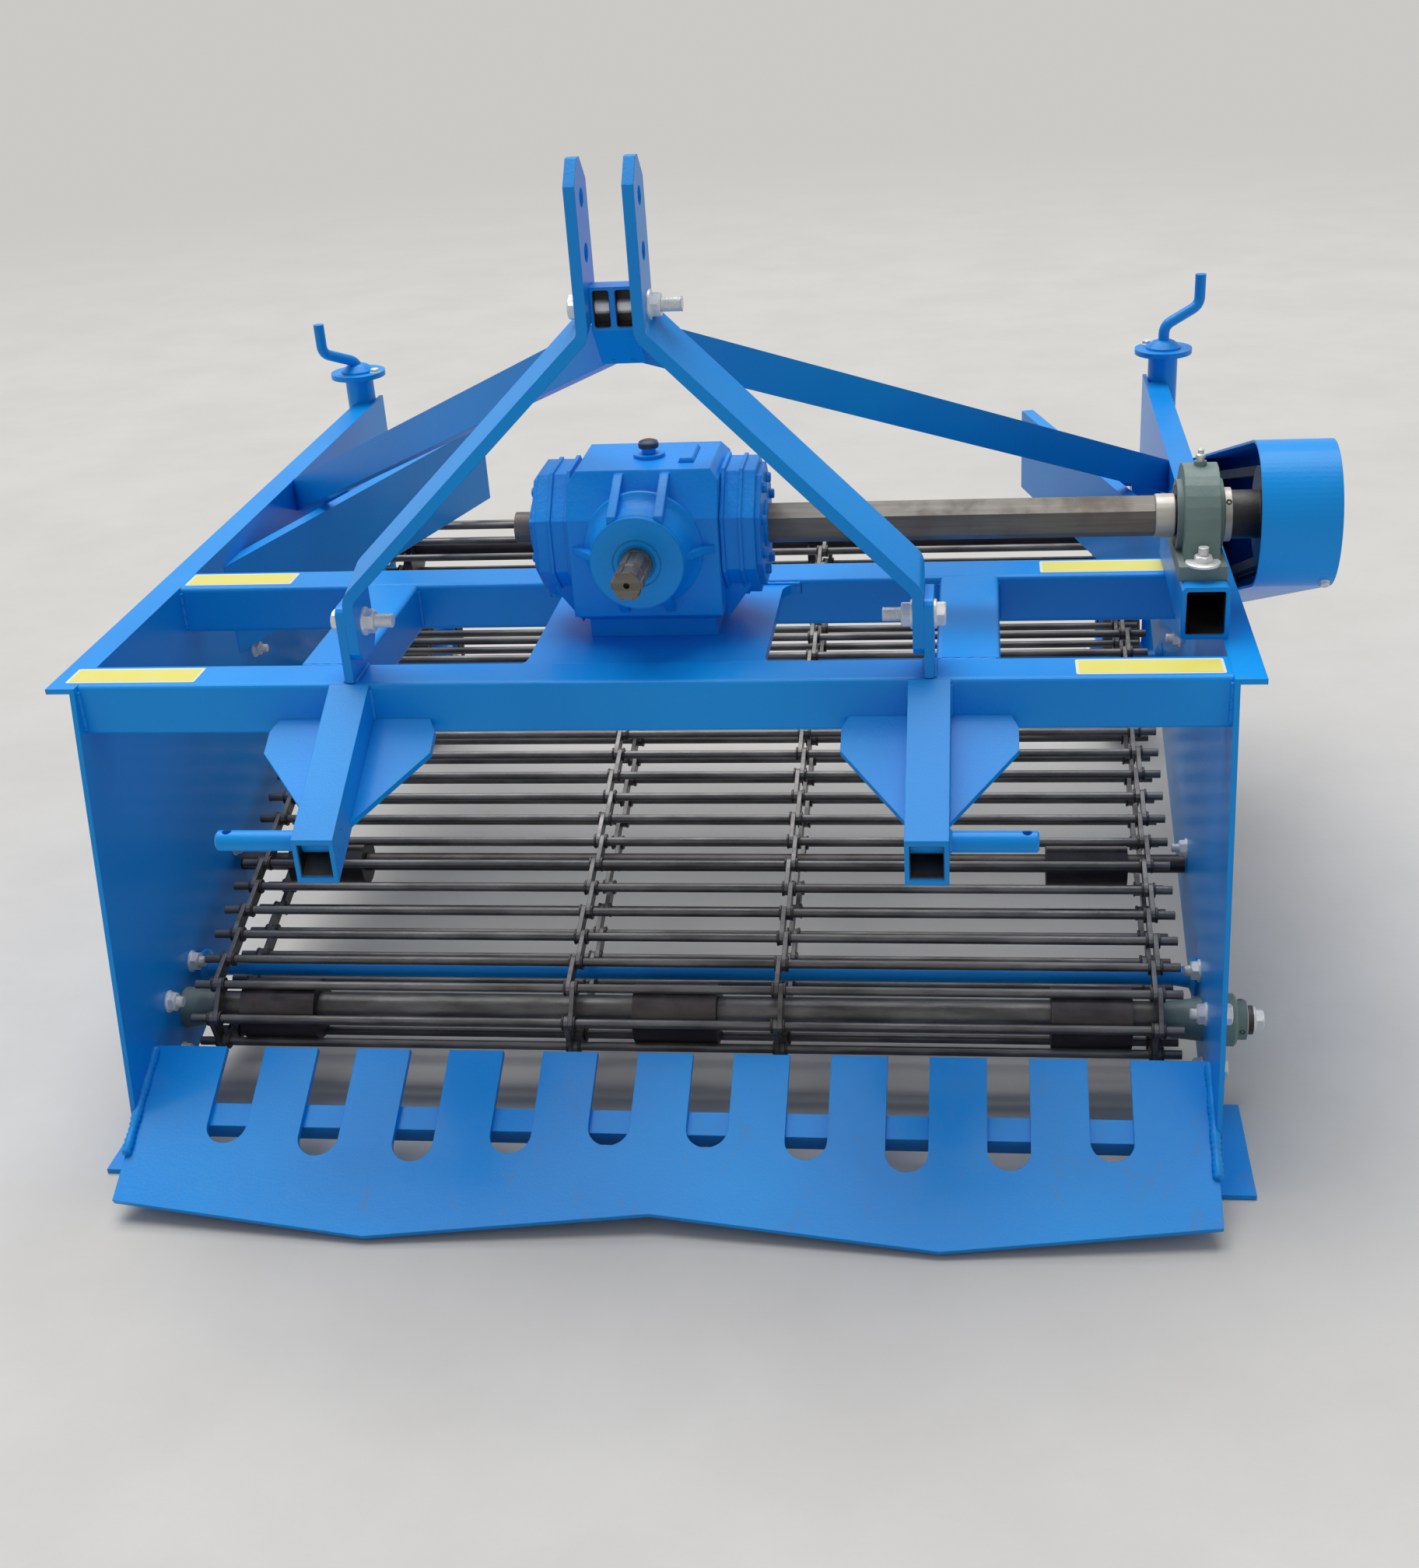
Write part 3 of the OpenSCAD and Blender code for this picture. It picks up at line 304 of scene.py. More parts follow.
def rolled_steel(name, dark, light, rust_share, seed):
    """Hot-rolled bar: dark scale rubbed brighter in streaks, a little brown rust, dust and a painted
    highlight on top.
    """
    steel = Finish(name, specular_ior_level=0.5)
    streaks = steel.noise(42.0, 4.0, 0.6, stretch=(0.22, 1.0, 1.0), seed=seed)
    rust = steel.noise(13.0, 6.0, 0.66, seed=seed + 2.0).step(0.66 - rust_share, 0.78)
    # paler on upward faces: partly dust, partly a painted highlight along the tops
    pale_tops = steel.up.step(0.1, 0.9) * steel.noise(9.0, 4.0, 0.6, seed=seed).step(0.3, 0.7)
    colour = steel.mix(streaks.step(0.34, 0.7), dark, light)
    colour = steel.mix(rust * 0.6, colour, (0.105, 0.055, 0.035))
    colour = steel.mix(pale_tops * 0.3, colour, (0.30, 0.28, 0.255))
    edge = steel.edges(0.0015)
    colour = steel.mix(edge * 0.4, colour, (0.3, 0.29, 0.28))
    grain = steel.noise(210.0, 3.0, 0.6) * 0.6 + streaks * 0.4
    normal = steel.bump(grain, 0.0006, steel.rounded(0.0012))
    return steel.dress(colour, 0.42 + rust * 0.3 + pale_tops * 0.15, normal, 0.72 - rust * 0.6 - pale_tops * 0.3)


def turned_steel(name, dark, light, tarnish):
    """Machined steel: drawn grain, tarnish in tan and brown patches."""
    steel = Finish(name, specular_ior_level=0.5)
    drawn = steel.noise(120.0, 3.0, 0.6, stretch=(0.04, 1.0, 1.0))
    patches = steel.noise(17.0, 5.0, 0.62).step(0.42, 0.7)
    colour = steel.mix(drawn.step(0.3, 0.72), dark, light)
    colour = steel.mix(patches * tarnish, colour, (0.135, 0.10, 0.075))
    colour = steel.mix(steel.edges(0.0016) * 0.45, colour, (0.36, 0.345, 0.32))
    normal = steel.bump(drawn, 0.0004, steel.rounded(0.0012))
    return steel.dress(colour, 0.4 + patches * 0.2 + drawn * 0.1, normal, 0.4 - patches * 0.2)


def zinc_plate():
    """Zinc-plated fasteners, milky with small bright flats."""
    zinc = Finish("zinc_plate", specular_ior_level=0.5)
    bloom = zinc.noise(55.0, 4.0, 0.6)
    colour = zinc.mix(bloom.step(0.35, 0.7), (0.76, 0.77, 0.76), (0.90, 0.905, 0.89))
    normal = zinc.bump(zinc.noise(260.0, 2.0), 0.0002, zinc.rounded(0.0007))
    return zinc.dress(colour, 0.3 + bloom * 0.2, normal, 0.4)


def bearing_paint():
    """Grey-green primer on the cast bearing housings."""
    primer = Finish("bearing_paint", specular_ior_level=0.5)
    grain = primer.noise(150.0, 4.0, 0.6)
    wear = primer.edges(0.0024) * primer.noise(34.0).step(0.4, 0.62)
    colour = primer.mix(primer.noise(7.0).step(0.3, 0.7), (0.125, 0.195, 0.18), (0.17, 0.255, 0.24))
    colour = primer.mix(wear * 0.5, colour, (0.33, 0.38, 0.36))
    pale_tops = primer.up.step(0.2, 0.9) * primer.noise(16.0, 4.0).step(0.4, 0.75)
    colour = primer.mix(pale_tops * 0.3, colour, DUST)
    normal = primer.bump(grain * 0.5 + primer.noise(40.0) * 0.7, 0.001, primer.rounded(0.0022))
    return primer.dress(colour, 0.44 + grain * 0.14, normal)


def rubber(name, colour, worn, scale):
    """Rubber with a dusty bloom."""
    band = Finish(name, specular_ior_level=0.35)
    bloom = band.noise(scale, 5.0, 0.65).step(0.4, 0.75)
    low = 1 - band.height.step(0.0, 0.05)
    shade = band.mix(bloom * 0.5, colour, worn)
    shade = band.mix(low * bloom * 0.7, shade, (0.28, 0.25, 0.21))
    normal = band.bump(band.noise(scale * 22, 3.0), 0.0005, band.rounded(0.0014))
    return band.dress(shade, 0.62 + bloom * 0.2, normal)


def label_film(name, colour, aged):
    """Printed film, left bare."""
    film = Finish(name, specular_ior_level=0.45, coat_weight=0.3, coat_roughness=0.2)
    age = film.noise(30.0, 4.0, 0.6)
    tint = film.mix(age.step(0.4, 0.75) * 0.6, colour, aged)
    return film.dress(tint, 0.36 + age * 0.12, film.bump(film.noise(70.0, 2.0), 0.0002))


PAINT, CAST = blue_enamel(), cast_enamel()
RODS = rolled_steel("rolled_rods", (0.085, 0.083, 0.082), (0.20, 0.195, 0.19), 0.04, 1.0)
PULLEYS = rolled_steel("cast_pulleys", (0.024, 0.025, 0.029), (0.048, 0.049, 0.055), 0.0, 11.0)
DRUMS = rolled_steel("rolled_drums", (0.040, 0.034, 0.037), (0.074, 0.063, 0.067), 0.08, 7.0)
TURNED = turned_steel("turned_steel", (0.125, 0.115, 0.10), (0.19, 0.175, 0.152), 0.5)
BRIGHT = turned_steel("bright_steel", (0.52, 0.49, 0.45), (0.66, 0.63, 0.58), 0.16)
ZINC, PRIMER = zinc_plate(), bearing_paint()
BELT = rubber("belt_rubber", (0.018, 0.018, 0.019), (0.05, 0.048, 0.045), 12.0)
TYRE = rubber("tyre_rubber", (0.022, 0.022, 0.022), (0.06, 0.056, 0.05), 9.0)
YELLOW = label_film("label_yellow", (0.82, 0.74, 0.14), (0.80, 0.76, 0.26))
PALE = label_film("label_border", (0.82, 0.84, 0.72), (0.74, 0.77, 0.64))

BY_SLOT = {"paint": PAINT, "cast_paint": CAST, "bare_steel": TURNED, "dark_steel": RODS,
           "cast_bearing": PRIMER, "belt_rubber": BELT, "tyre": TYRE}
DARKER = ("roller_drums", "web_wheels", "front_roller", "carrier_shafts", "rear_shaft")


def finish_of(name, slot):
    if name.endswith("_pulley"):
        return PULLEYS
    return DRUMS if name in DARKER else BY_SLOT[slot]


def dress_solids():
    slots = {part["node"]: part["material_slot"] for part in frame["record"]["subparts"]}
    for name, solid in frame["nodes"].items():
        solid.data.materials.clear()
        solid.data.materials.append(finish_of(name, slots[name]))


# metalwork
def facing(point, direction, spin=0.0):
    """A bench at point whose z looks along direction; its lengths are millimetres."""
    turn = Vector(direction).to_track_quat("Z", "Y").to_matrix().to_4x4()
    return Matrix.Translation(point) @ turn @ Matrix.Rotation(spin, 4, "Z") @ Matrix.Scale(0.001, 4)


def circle(radius, z, sides):
    turns = [2 * pi * i / sides for i in range(sides)]
    return [Vector((radius * cos(a), radius * sin(a), z)) for a in turns]


class Metalwork:
    """One piece, put together from skins laid over rings of points."""

    def __init__(self, name, material, body="digger_frame", slot=None):
        self.name, self.material, self.body, self.slot = name, material, body, slot
        self.shell = bmesh.new()

    def skin(self, rings, bench=None, capped=True):
        bench = bench or Matrix.Identity(4)
        loops = [[self.shell.verts.new(bench @ Vector(p)) for p in ring] for ring in rings]
        for one, two in zip(loops, loops[1:]):
            for i in range(len(one)):
                j = (i + 1) % len(one)
                self.shell.faces.new((one[i], one[j], two[j], two[i]))
        if capped:
            self.shell.faces.new(loops[0][::-1])
            self.shell.faces.new(loops[-1])

    def turned(self, profile, bench, sides=24):
        """A lathe-turned solid: profile holds (radius, z) from one end to the other."""
        self.skin([circle(r, z, sides) for r, z in profile], bench)

    def ring(self, profile, bench, sides=32):
        """A turned ring: profile is a closed run of (radius, z)."""
        rings = [circle(r, z, sides) for r, z in profile]
        self.skin(rings + rings[:1], bench, capped=False)

    def swept(self, path, radius, square, sides=16):
        """A round rod along a flat path; square is the direction across the path's plane."""
        turns = [2 * pi * i / sides for i in range(sides)]
        rings = []
        for i, point in enumerate(path):
            along = (path[min(i + 1, len(path) - 1)] - path[max(i - 1, 0)]).normalized()
            other = along.cross(square)
            rings.append([point + (square * cos(a) + other * sin(a)) * radius / 1000 for a in turns])
        self.skin(rings)

    def hexagon(self, across, low, high, bench):
        """A six-sided head or nut, its corners cut by the usual chamfer."""
        corner, flat, cut = across / sqrt(3), across / 2, across * 0.055

        def twelve(z_corner, z_flat):
            reach, rise = (corner, flat) * 6, (z_corner, z_flat) * 6
            return [Vector((r * cos(pi * i / 6), r * sin(pi * i / 6), z))
                    for i, (r, z) in enumerate(zip(reach, rise))]

        chamfer = twelve(high - cut * 1.6, high - cut * 0.3)
        self.skin([twelve(low, low), chamfer, circle(flat * 0.95, high, 12)], bench)

    def made(self, smooth=35.0):
        mesh = bpy.data.meshes.new(self.name)
        bmesh.ops.remove_doubles(self.shell, verts=self.shell.verts, dist=1e-7)
        bmesh.ops.recalc_face_normals(self.shell, faces=self.shell.faces)
        for face in self.shell.faces:
            face.smooth = True
        self.shell.to_mesh(mesh)
        self.shell.free()
        mesh.set_sharp_from_angle(angle=radians(smooth))
        mesh.materials.append(self.material)
        piece = bpy.data.objects.new(self.name, mesh)
        bpy.context.scene.collection.objects.link(piece)
        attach(piece, self.body)
        return piece


# thread: width across flats, height of a head, radius and thickness of a washer
FASTENERS = {6: (10, 4, 6, 1.2), 8: (13, 5.3, 8.5, 1.6), 12: (18, 7.5, 12.5, 2.5),
             14: (22, 8.8, 14, 2.5), 16: (24, 10, 16, 3), 20: (30, 12.5, 19, 3)}


def head(work, point, direction, size, washer=True, spin=0.4):
    across, high, washer_r, washer_t = FASTENERS[size]
    bench = facing(point, direction, spin)
    seat = 0
    if washer:
        work.turned([(washer_r, 0), (washer_r, washer_t * 0.7), (washer_r - 0.6, washer_t)], bench, 28)
        seat = washer_t
    work.hexagon(across, seat, seat + high, bench)
    return seat + high


def threaded_end(work, point, direction, size, start, length):
    """The bolt's end beyond its nut: a run of thread and a chamfer."""
    r, step = size / 2, 1.6
    profile = [(r * 0.87, start)]
    z = start
    while z + step < start + length - 1:
        profile += [(r * 0.98, z + step * 0.5), (r * 0.87, z + step)]
        z += step
    profile += [(r * 0.98, z + step * 0.5), (r * 0.98, start + length - 1), (r * 0.8, start + length)]
    work.turned(profile, facing(point, direction), 14)


def nut(work, point, direction, size, tail, spin=0.15, washer=True):
    start = head(work, point, direction, size, washer, spin)
    threaded_end(work, point, direction, size, start, tail)


def through_bolt(work, start, end, size, tail, spin=0.3):
    """A bolt from its head at start to its nut at end."""
    along = (end - start).normalized()
    head(work, start, -along, size, spin=spin)
    nut(work, end, along, size, tail, spin + 0.5)
    shank = size / 2 * 0.96
    work.turned([(shank, 0), (shank, (end - start).length * 1000)], facing(start, along), 16)


def hitch_bolts():
    bolts = Metalwork("hitch_bolts", ZINC)
    for s in (-1, 1):
        through_bolt(bolts, at(s * (FOOT_X + BAR_T + LUG_T), BAR_MID, LUG_BOLT_Z),
                     at(s * FOOT_X, BAR_MID, LUG_BOLT_Z), 16, 20, 0.3 + 0.5 * s)
    through_bolt(bolts, at(-BAR_X - BAR_T, *BRACE_BOLT), at(BAR_X + BAR_T, *BRACE_BOLT), 16, 22)
    bolts.made()


def around(centre, reach, angle):
    """A place at a reach and angle from a shaft's centre, as (y, z)."""
    return centre[0] + reach * cos(angle), centre[1] + reach * sin(angle)


def bearing_bolts():
    """Four bolts through each flange bearing and its panel, nuts inside."""
    bolts = Metalwork("bearing_bolts", ZINC)
    for s in (-1, 1):
        for shaft in (ROLLER, REAR):
            for i in range(4):
                y, z = around(shaft, BOLT_REACH * sqrt(2), BEARING_TURN + radians(45 + 90 * i))
                through_bolt(bolts, at(s * FLANGE_FACE, y, z), at(s * IN_X, y, z), 14, 8, 0.9 * i)
    bolts.made()


def panel_bolts():
    """Nuts on the carrier shafts, bolts of the tie tubes, and the small bolts through the panels."""
    work = Metalwork("panel_bolts", ZINC)
    for s in (-1, 1):
        for t, height in CARRIERS:
            nut(work, at(s * OUT_X, *on_run(t, height)), (s, 0, 0), 20, 6, 0.3 * t)
        for t, height in TIES:
            head(work, at(s * OUT_X, *on_run(t, height)), (s, 0, 0), 12, spin=0.7 * s)
        for y, z in SMALL_BOLTS:
            through_bolt(work, at(s * OUT_X, y, z), at(s * IN_X, y, z), 12, 9, 0.02 * y)
    work.made()


def tie_sockets():
    """Turned sockets that carry the tie tubes' ends on the panels."""
    work = Metalwork("tie_sockets", PAINT)
    for t, height in TIES:
        for s in (-1, 1):
            work.turned([(24, 0), (24, 4), (14, 9), (11.6, 24), (10.9, 30)],
                        facing(at(s * IN_X, *on_run(t, height)), (-s, 0, 0)), 32)
    work.made()


def grease_nipple(work, point, direction, size=1.0):
    profile = [(3, 0), (3, 3), (4.2, 3.6), (4.2, 6), (2.4, 7.5), (2.4, 9), (3, 10), (1.5, 11.5)]
    work.turned([(r * size, z * size) for r, z in profile], facing(point, direction), 14)


def grub_screw(work, point, direction, size):
    """A sunk set screw: a rim and the dark hole of its socket."""
    work.ring([(size * 0.5, 0), (size, 0), (size, 0.7), (size * 0.86, 1.1), (size * 0.5, 0.4)],
              facing(point, direction), 6)


def roller_tube():
    """The tube around the front shaft, between the bearings, its ends chamfered."""
    work = Metalwork("roller_tube", RODS)
    bench = facing(at(-TUBE_END, *ROLLER), (1, 0, 0))
    long = 2 * TUBE_END
    work.ring([(RING_R, 0), (TUBE_R - 1, 0), (TUBE_R, 1), (TUBE_R, long - 1), (TUBE_R - 1, long),
               (RING_R, long)], bench, 40)
    work.made()


def bearing_fittings():
    """Rings, end bolts, sunk screws and grease nipples; the driven end has no collar or end bolt."""
    rings = Metalwork("bearing_rings", ZINC)
    screws = Metalwork("bearing_screws", DRUMS)
    for s in (-1, 1):
        for shaft in (ROLLER, REAR):
            if (s, shaft) != (1, REAR):
                rings.ring([(RING_R, 0), (COLLAR_R - 3, 0), (COLLAR_R - 3.6, 1), (RING_R, 1.4)],
                           facing(at(s * COLLAR_FACE, *shaft), (s, 0, 0)), 40)
                head(rings, at(s * SHAFT_END, *shaft), (s, 0, 0), 16, spin=0.3 + shaft[0])
                for i in (0, 1):
                    angle = radians(65 + 120 * i)
                    y, z = around(shaft, COLLAR_R - 0.4, angle)
                    grub_screw(screws, at(s * (HUB_FACE + 6), y, z), (0, cos(angle), sin(angle)), 3.6)
            else:
                rings.ring([(RING_R, 0), (COLLAR_R, 0), (COLLAR_R, 1.4), (RING_R, 1.8)],
                           facing(at(s * HUB_FACE, *shaft), (s, 0, 0)), 40)
            y, z = around(shaft, HUB_R - 0.5, radians(60))
            grease_nipple(rings, at(s * (HUB_FACE - 12), y, z), (0, 0.5, 0.87))
            rings.ring([(RING_R, 0), (20.2, 0), (20.2, 1), (RING_R, 1.5)],
                       facing(at(s * (IN_X - BOSS), *shaft), (-s, 0, 0)), 40)
    rings.made()
    screws.made()


def pillow_fittings():
    """The pillow block's ring, nipple, and base nuts on wide washers; the sleeves on the shaft beside it."""
    rings = Metalwork("pillow_rings", PULLEYS)
    rings.ring([(22.3, 0), (33, 0), (33.4, 1), (33.4, 3), (32, 3.6), (22.3, 3.6)],
               facing(at(BEARING_X - 21.2, SHAFT_Y, AXIS_Z), (-1, 0, 0)), 40)
    rings.made()
    nuts = Metalwork("pillow_nuts", ZINC)
    grease_nipple(nuts, at(BEARING_X, SHAFT_Y, DOME_Z), (0, 0, 1), 1.3)
    for s in (-1, 1):
        y = SHAFT_Y + s * BASE_BOLT
        nuts.turned([(19, 0), (19, 2.4), (18, 3)], facing(at(BEARING_X, y, BASE_Z), (0, 0, 1)), 36)
        nut(nuts, at(BEARING_X, y, BASE_Z + 2.6), (0, 0, 1), 12, 9, 0.4 * s, washer=False)
    nuts.made()
    sleeves = Metalwork("shaft_sleeves", BRIGHT, "cross_shaft")
    along = facing(at(HEX_END, SHAFT_Y, AXIS_Z), (1, 0, 0))
    for bore, profile in ((SHAFT_COLLAR_R + 0.1, [(23.4, 0.2), (24.4, 1.4), (24.4, 21), (23.6, 22)]),
                          (PULLEY_HUB_R + 0.1, [(29.4, 74.5), (30, 75.2), (30, 82.4), (29.4, 83)])):
        sleeves.ring([(bore, profile[0][1]), *profile, (bore, profile[-1][1])], along, 48)
    sleeves.made()
    screws = Metalwork("sleeve_screws", PULLEYS, "cross_shaft")
    grub_screw(screws, at(HEX_END + 78.7, SHAFT_Y - 21.2, AXIS_Z + 21.2), (0, -1, 1), 3.4)
    grub_screw(screws, at(HEX_END + 11, SHAFT_Y + 18.3, AXIS_Z + 18.3), (0, 1, 1), 3.6)
    screws.made()


def upright(x1, x2, z1, z2, y, inset=0.0, fall=0.0):
    """A rectangle across a tube at y, drawn in by inset and lowered by fall."""
    x1, x2, z1, z2 = x1 + inset, x2 - inset, z1 + inset, z2 - inset
    return [at(x, y, z - fall) for x, z in ((x1, z1), (x2, z1), (x2, z2), (x1, z2))]


STAND_HOLLOW = (STAND_X[0] + TUBE_IN, STAND_X[1] - TUBE_IN, STAND_Z[0] + TUBE_IN, STAND_Z[1] - TUBE_IN)


def tube_shade_linings():
    """Painted shade: a near-black sheet inside the open ends of the bearing stand, the lower arms and the
    braces.
    """
    # the near-black finish of this sheet paints the shade inside each hollow
    work = Metalwork("tube_shade_linings", PULLEYS)
    sheet = 0.6
    hollows = [(*STAND_HOLLOW, STAND_Y[0] + 2, STAND_Y[1] - 9, 0)]
    for s in (-1, 1):
        x1, x2 = sorted((s * (ARM_X[0] + TUBE_IN), s * (ARM_X[1] - TUBE_IN)))
        hollows.append((x1, x2, *ARM_HOLLOW_Z, ARM_TIP_Y + 2, 0, ARM_FALL))
        x1, x2 = sorted((s * MOUTH_X[0], s * MOUTH_X[1]))
        hollows.append((x1, x2, BRACE_BOLT[1] - MOUTH_HALF, BRACE_BOLT[1] + MOUTH_HALF, *MOUTH_Y, 0))
    for x1, x2, z1, z2, front, back, slope in hollows:
        work.skin([upright(x1, x2, z1, z2, y, inset, slope * (BEAM_Y - y))
                   for y, inset in ((back - 1, sheet), (front, sheet), (front, 0), (back, 0))])
    work.made()


def stand_end():
    """The plate that closes the bearing stand's rear end."""
    work = Metalwork("stand_end", PAINT)
    back = STAND_Y[1]
    steps = ((back - 7, 0), (back - 3, 0), (back - 2, 1.5))
    work.skin([upright(*STAND_HOLLOW, y, inset) for y, inset in steps])
    work.made()


def gearbox_fittings():
    """Cover flanges, skirts, the nose's flare, bolts and seals of the gearbox, sprayed over with it."""
    cast = Metalwork("gearbox_flanges", CAST)
    for s in (-1, 1):
        side = facing(at(s * CASE_X, SHAFT_Y, AXIS_Z), (s, 0, 0), pi / 8)
        for low, reach in ((0, 82), (20, 80.5)):
            rim = ((reach - 6, low), (reach, low + 0.8), (reach, low + 5), (reach - 6, low + 6))
            cast.skin([circle(r, z, 8) for r, z in rim], side)
        skirt = [(84, -52), (84, -100), (112, -62), (122, -34)]
        cast.skin([[at(s * x, SHAFT_Y + y, AXIS_Z + z) for x, z in skirt] for y in (-46, -40, 40, 46)])
    front = facing(at(0, SHAFT_Y - CASE_Y, AXIS_Z), (0, -1, 0))
    cast.turned([(50, -1), (68, -1), (67, 2), (61, 6), (57, 14), (54, 26), (52.4, 38), (50, 39)], front, 48)
    cast.skin([[(-9, -30, 0), (9, -30, 0), (9, 30, 0), (-9, 30, 0)],
               [(-7, -28, 5), (7, -28, 5), (7, 28, 5), (-7, 28, 5)]],
              facing(at(46, SHAFT_Y, CASE_TOP), (0, 0, 1)))
    cast.made()
    bolts = Metalwork("gearbox_bolts", CAST)
    for s in (-1, 1):
        for i in range(8):
            y, z = around((SHAFT_Y, AXIS_Z), 52, radians(45 * i + 22.5))
            head(bolts, at(s * (CASE_X + COVER_W), y, z), (s, 0, 0), 6, spin=i * 1.3)
        for t in (-1, 1):
            head(bolts, at(s * 52, SHAFT_Y + t * 42, BED_Z - BED_T), (0, 0, -1), 12, spin=s * 0.5 + t)
    bolts.made()
    seals = Metalwork("shaft_seals", CAST)
    seals.ring([(17.7, 0), (26.3, 0), (26.3, 5.6), (21, 5.6), (19.4, 4.4), (17.7, 4.6)],
               facing(at(0, NOSE_Y + 5.9, AXIS_Z), (0, -1, 0)), 48)
    seals.ring([(18.1, 0), (27, 0), (26, 3), (20, 4), (18.1, 2.4)],
               facing(at(CASE_X + COVER_W, SHAFT_Y, AXIS_Z), (1, 0, 0)), 48)
    seals.made()
    cap = Metalwork("breather_cap", DRUMS)
    cap.turned([(11.6, 0), (11.6, 4), (10, 6.5), (6, 8)], facing(at(0, SHAFT_Y, BREATHER_Z), (0, 0, 1)), 32)
    cap.made()


def guard_bolts():
    work = Metalwork("guard_bolts", ZINC)
    for t in SPACERS:
        y, z = SHAFT_Y + t * (REAR[0] - SHAFT_Y), AXIS_Z + t * (REAR[1] - AXIS_Z)
        head(work, at(GUARD_X, y, z), (1, 0, 0), 12)
        head(work, at(IN_X, y, z), (-1, 0, 0), 12)
    head(work, at(GUARD_X - 10, SHAFT_Y - 52, AXIS_Z - 62), (0, -0.7, -0.75), 6)
    work.made()


# each crank: its side, the way its arm points, height of the arm over the column's cap
CRANKS = ((-1, radians(230), 28), (1, radians(25), 47))


def rounded_path(corners, radius, steps=7):
    """A line through corners in which each inner corner is rounded."""
    path = [corners[0]]
    for before, corner, after in zip(corners, corners[1:], corners[2:]):
        back, on = (before - corner).normalized(), (after - corner).normalized()
        half = back.angle(on) / 2
        reach = radius / tan(half)
        for i in range(steps + 1):
            f = i / steps
            start, end = corner + back * reach, corner + on * reach
            path.append(start.lerp(corner, f).lerp(corner.lerp(end, f), f))
    return path + [corners[-1]]


def depth_cranks():
    """Bent cranks on their screws, the mounds round them, and the small bolt beside each."""
    rods, mounds = Metalwork("crank_rods", PAINT), Metalwork("crank_mounds", PAINT)
    bolts = Metalwork("crank_bolts", ZINC)
    dome = [(28, 0), (27.4, 3), (24, 5.4), (17.6, 10.6), (12, 13), (8, 13.6)]
    for s, turn, rise in CRANKS:
        foot = at(s * COLUMN_X, COLUMN_Y, CAP_Z + CAP_T)
        out, up = Vector((cos(turn), sin(turn), 0)), Vector((0, 0, 1))
        line = ((0, -SCREW), (0, rise - 12), (CRANK_REACH, rise + 14), (CRANK_REACH, rise + CRANK_HIGH))
        path = rounded_path([foot + (out * a + up * b) / 1000 for a, b in line], CRANK_BEND / 1000)
        rods.swept([path[0], foot, *path[1:]], CRANK_R, out.cross(up))
        mounds.turned(dome, facing(foot, up), 40)
        beside = Vector((cos(turn + 1.9), sin(turn + 1.9), 0))
        head(bolts, foot + beside * 0.0355, up, 8, spin=turn)
    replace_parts(rods.made(), "depth_cranks")
    mounds.made()
    bolts.made()


def rod_washers():
    """Pressed washers that hold the link plates on the rods."""
    work = Metalwork("rod_washers", DRUMS)
    bore, thick = ROD_R + 0.1, 2.8
    profile = [(bore, 0), (9.4, 0), (9.8, 0.5), (9.8, 2.3), (9.2, thick), (bore, thick)]
    for y, z in web_rods():
        for x in STRANDS:
            for low in (x - 3, x + 2 * LINK_T + 0.5):
                work.ring(profile, facing(at(low, y, z), (1, 0, 0)), 12)
    work.made()


# welds
def bead(work, points, size=3.2, step=3.4):
    """A ripple of weld along a run of points."""
    rings = []
    for start, end in zip(points, points[1:]):
        along = end - start
        count = max(2, int(along.length * 1000 / step))
        bench = facing(start, along)
        for i in range(count + 1):
            z = along.length * 1000 * i / count
            for grow, offset in ((0.82, 0.0), (1.08, 0.55)):
                if i == count and offset:
                    continue
                wobble = grow + 0.09 * sin(i * 2.4 + z * 0.7)
                rings.append([bench @ p for p in circle(size * wobble, z + offset * step, 8)])
    work.skin(rings)


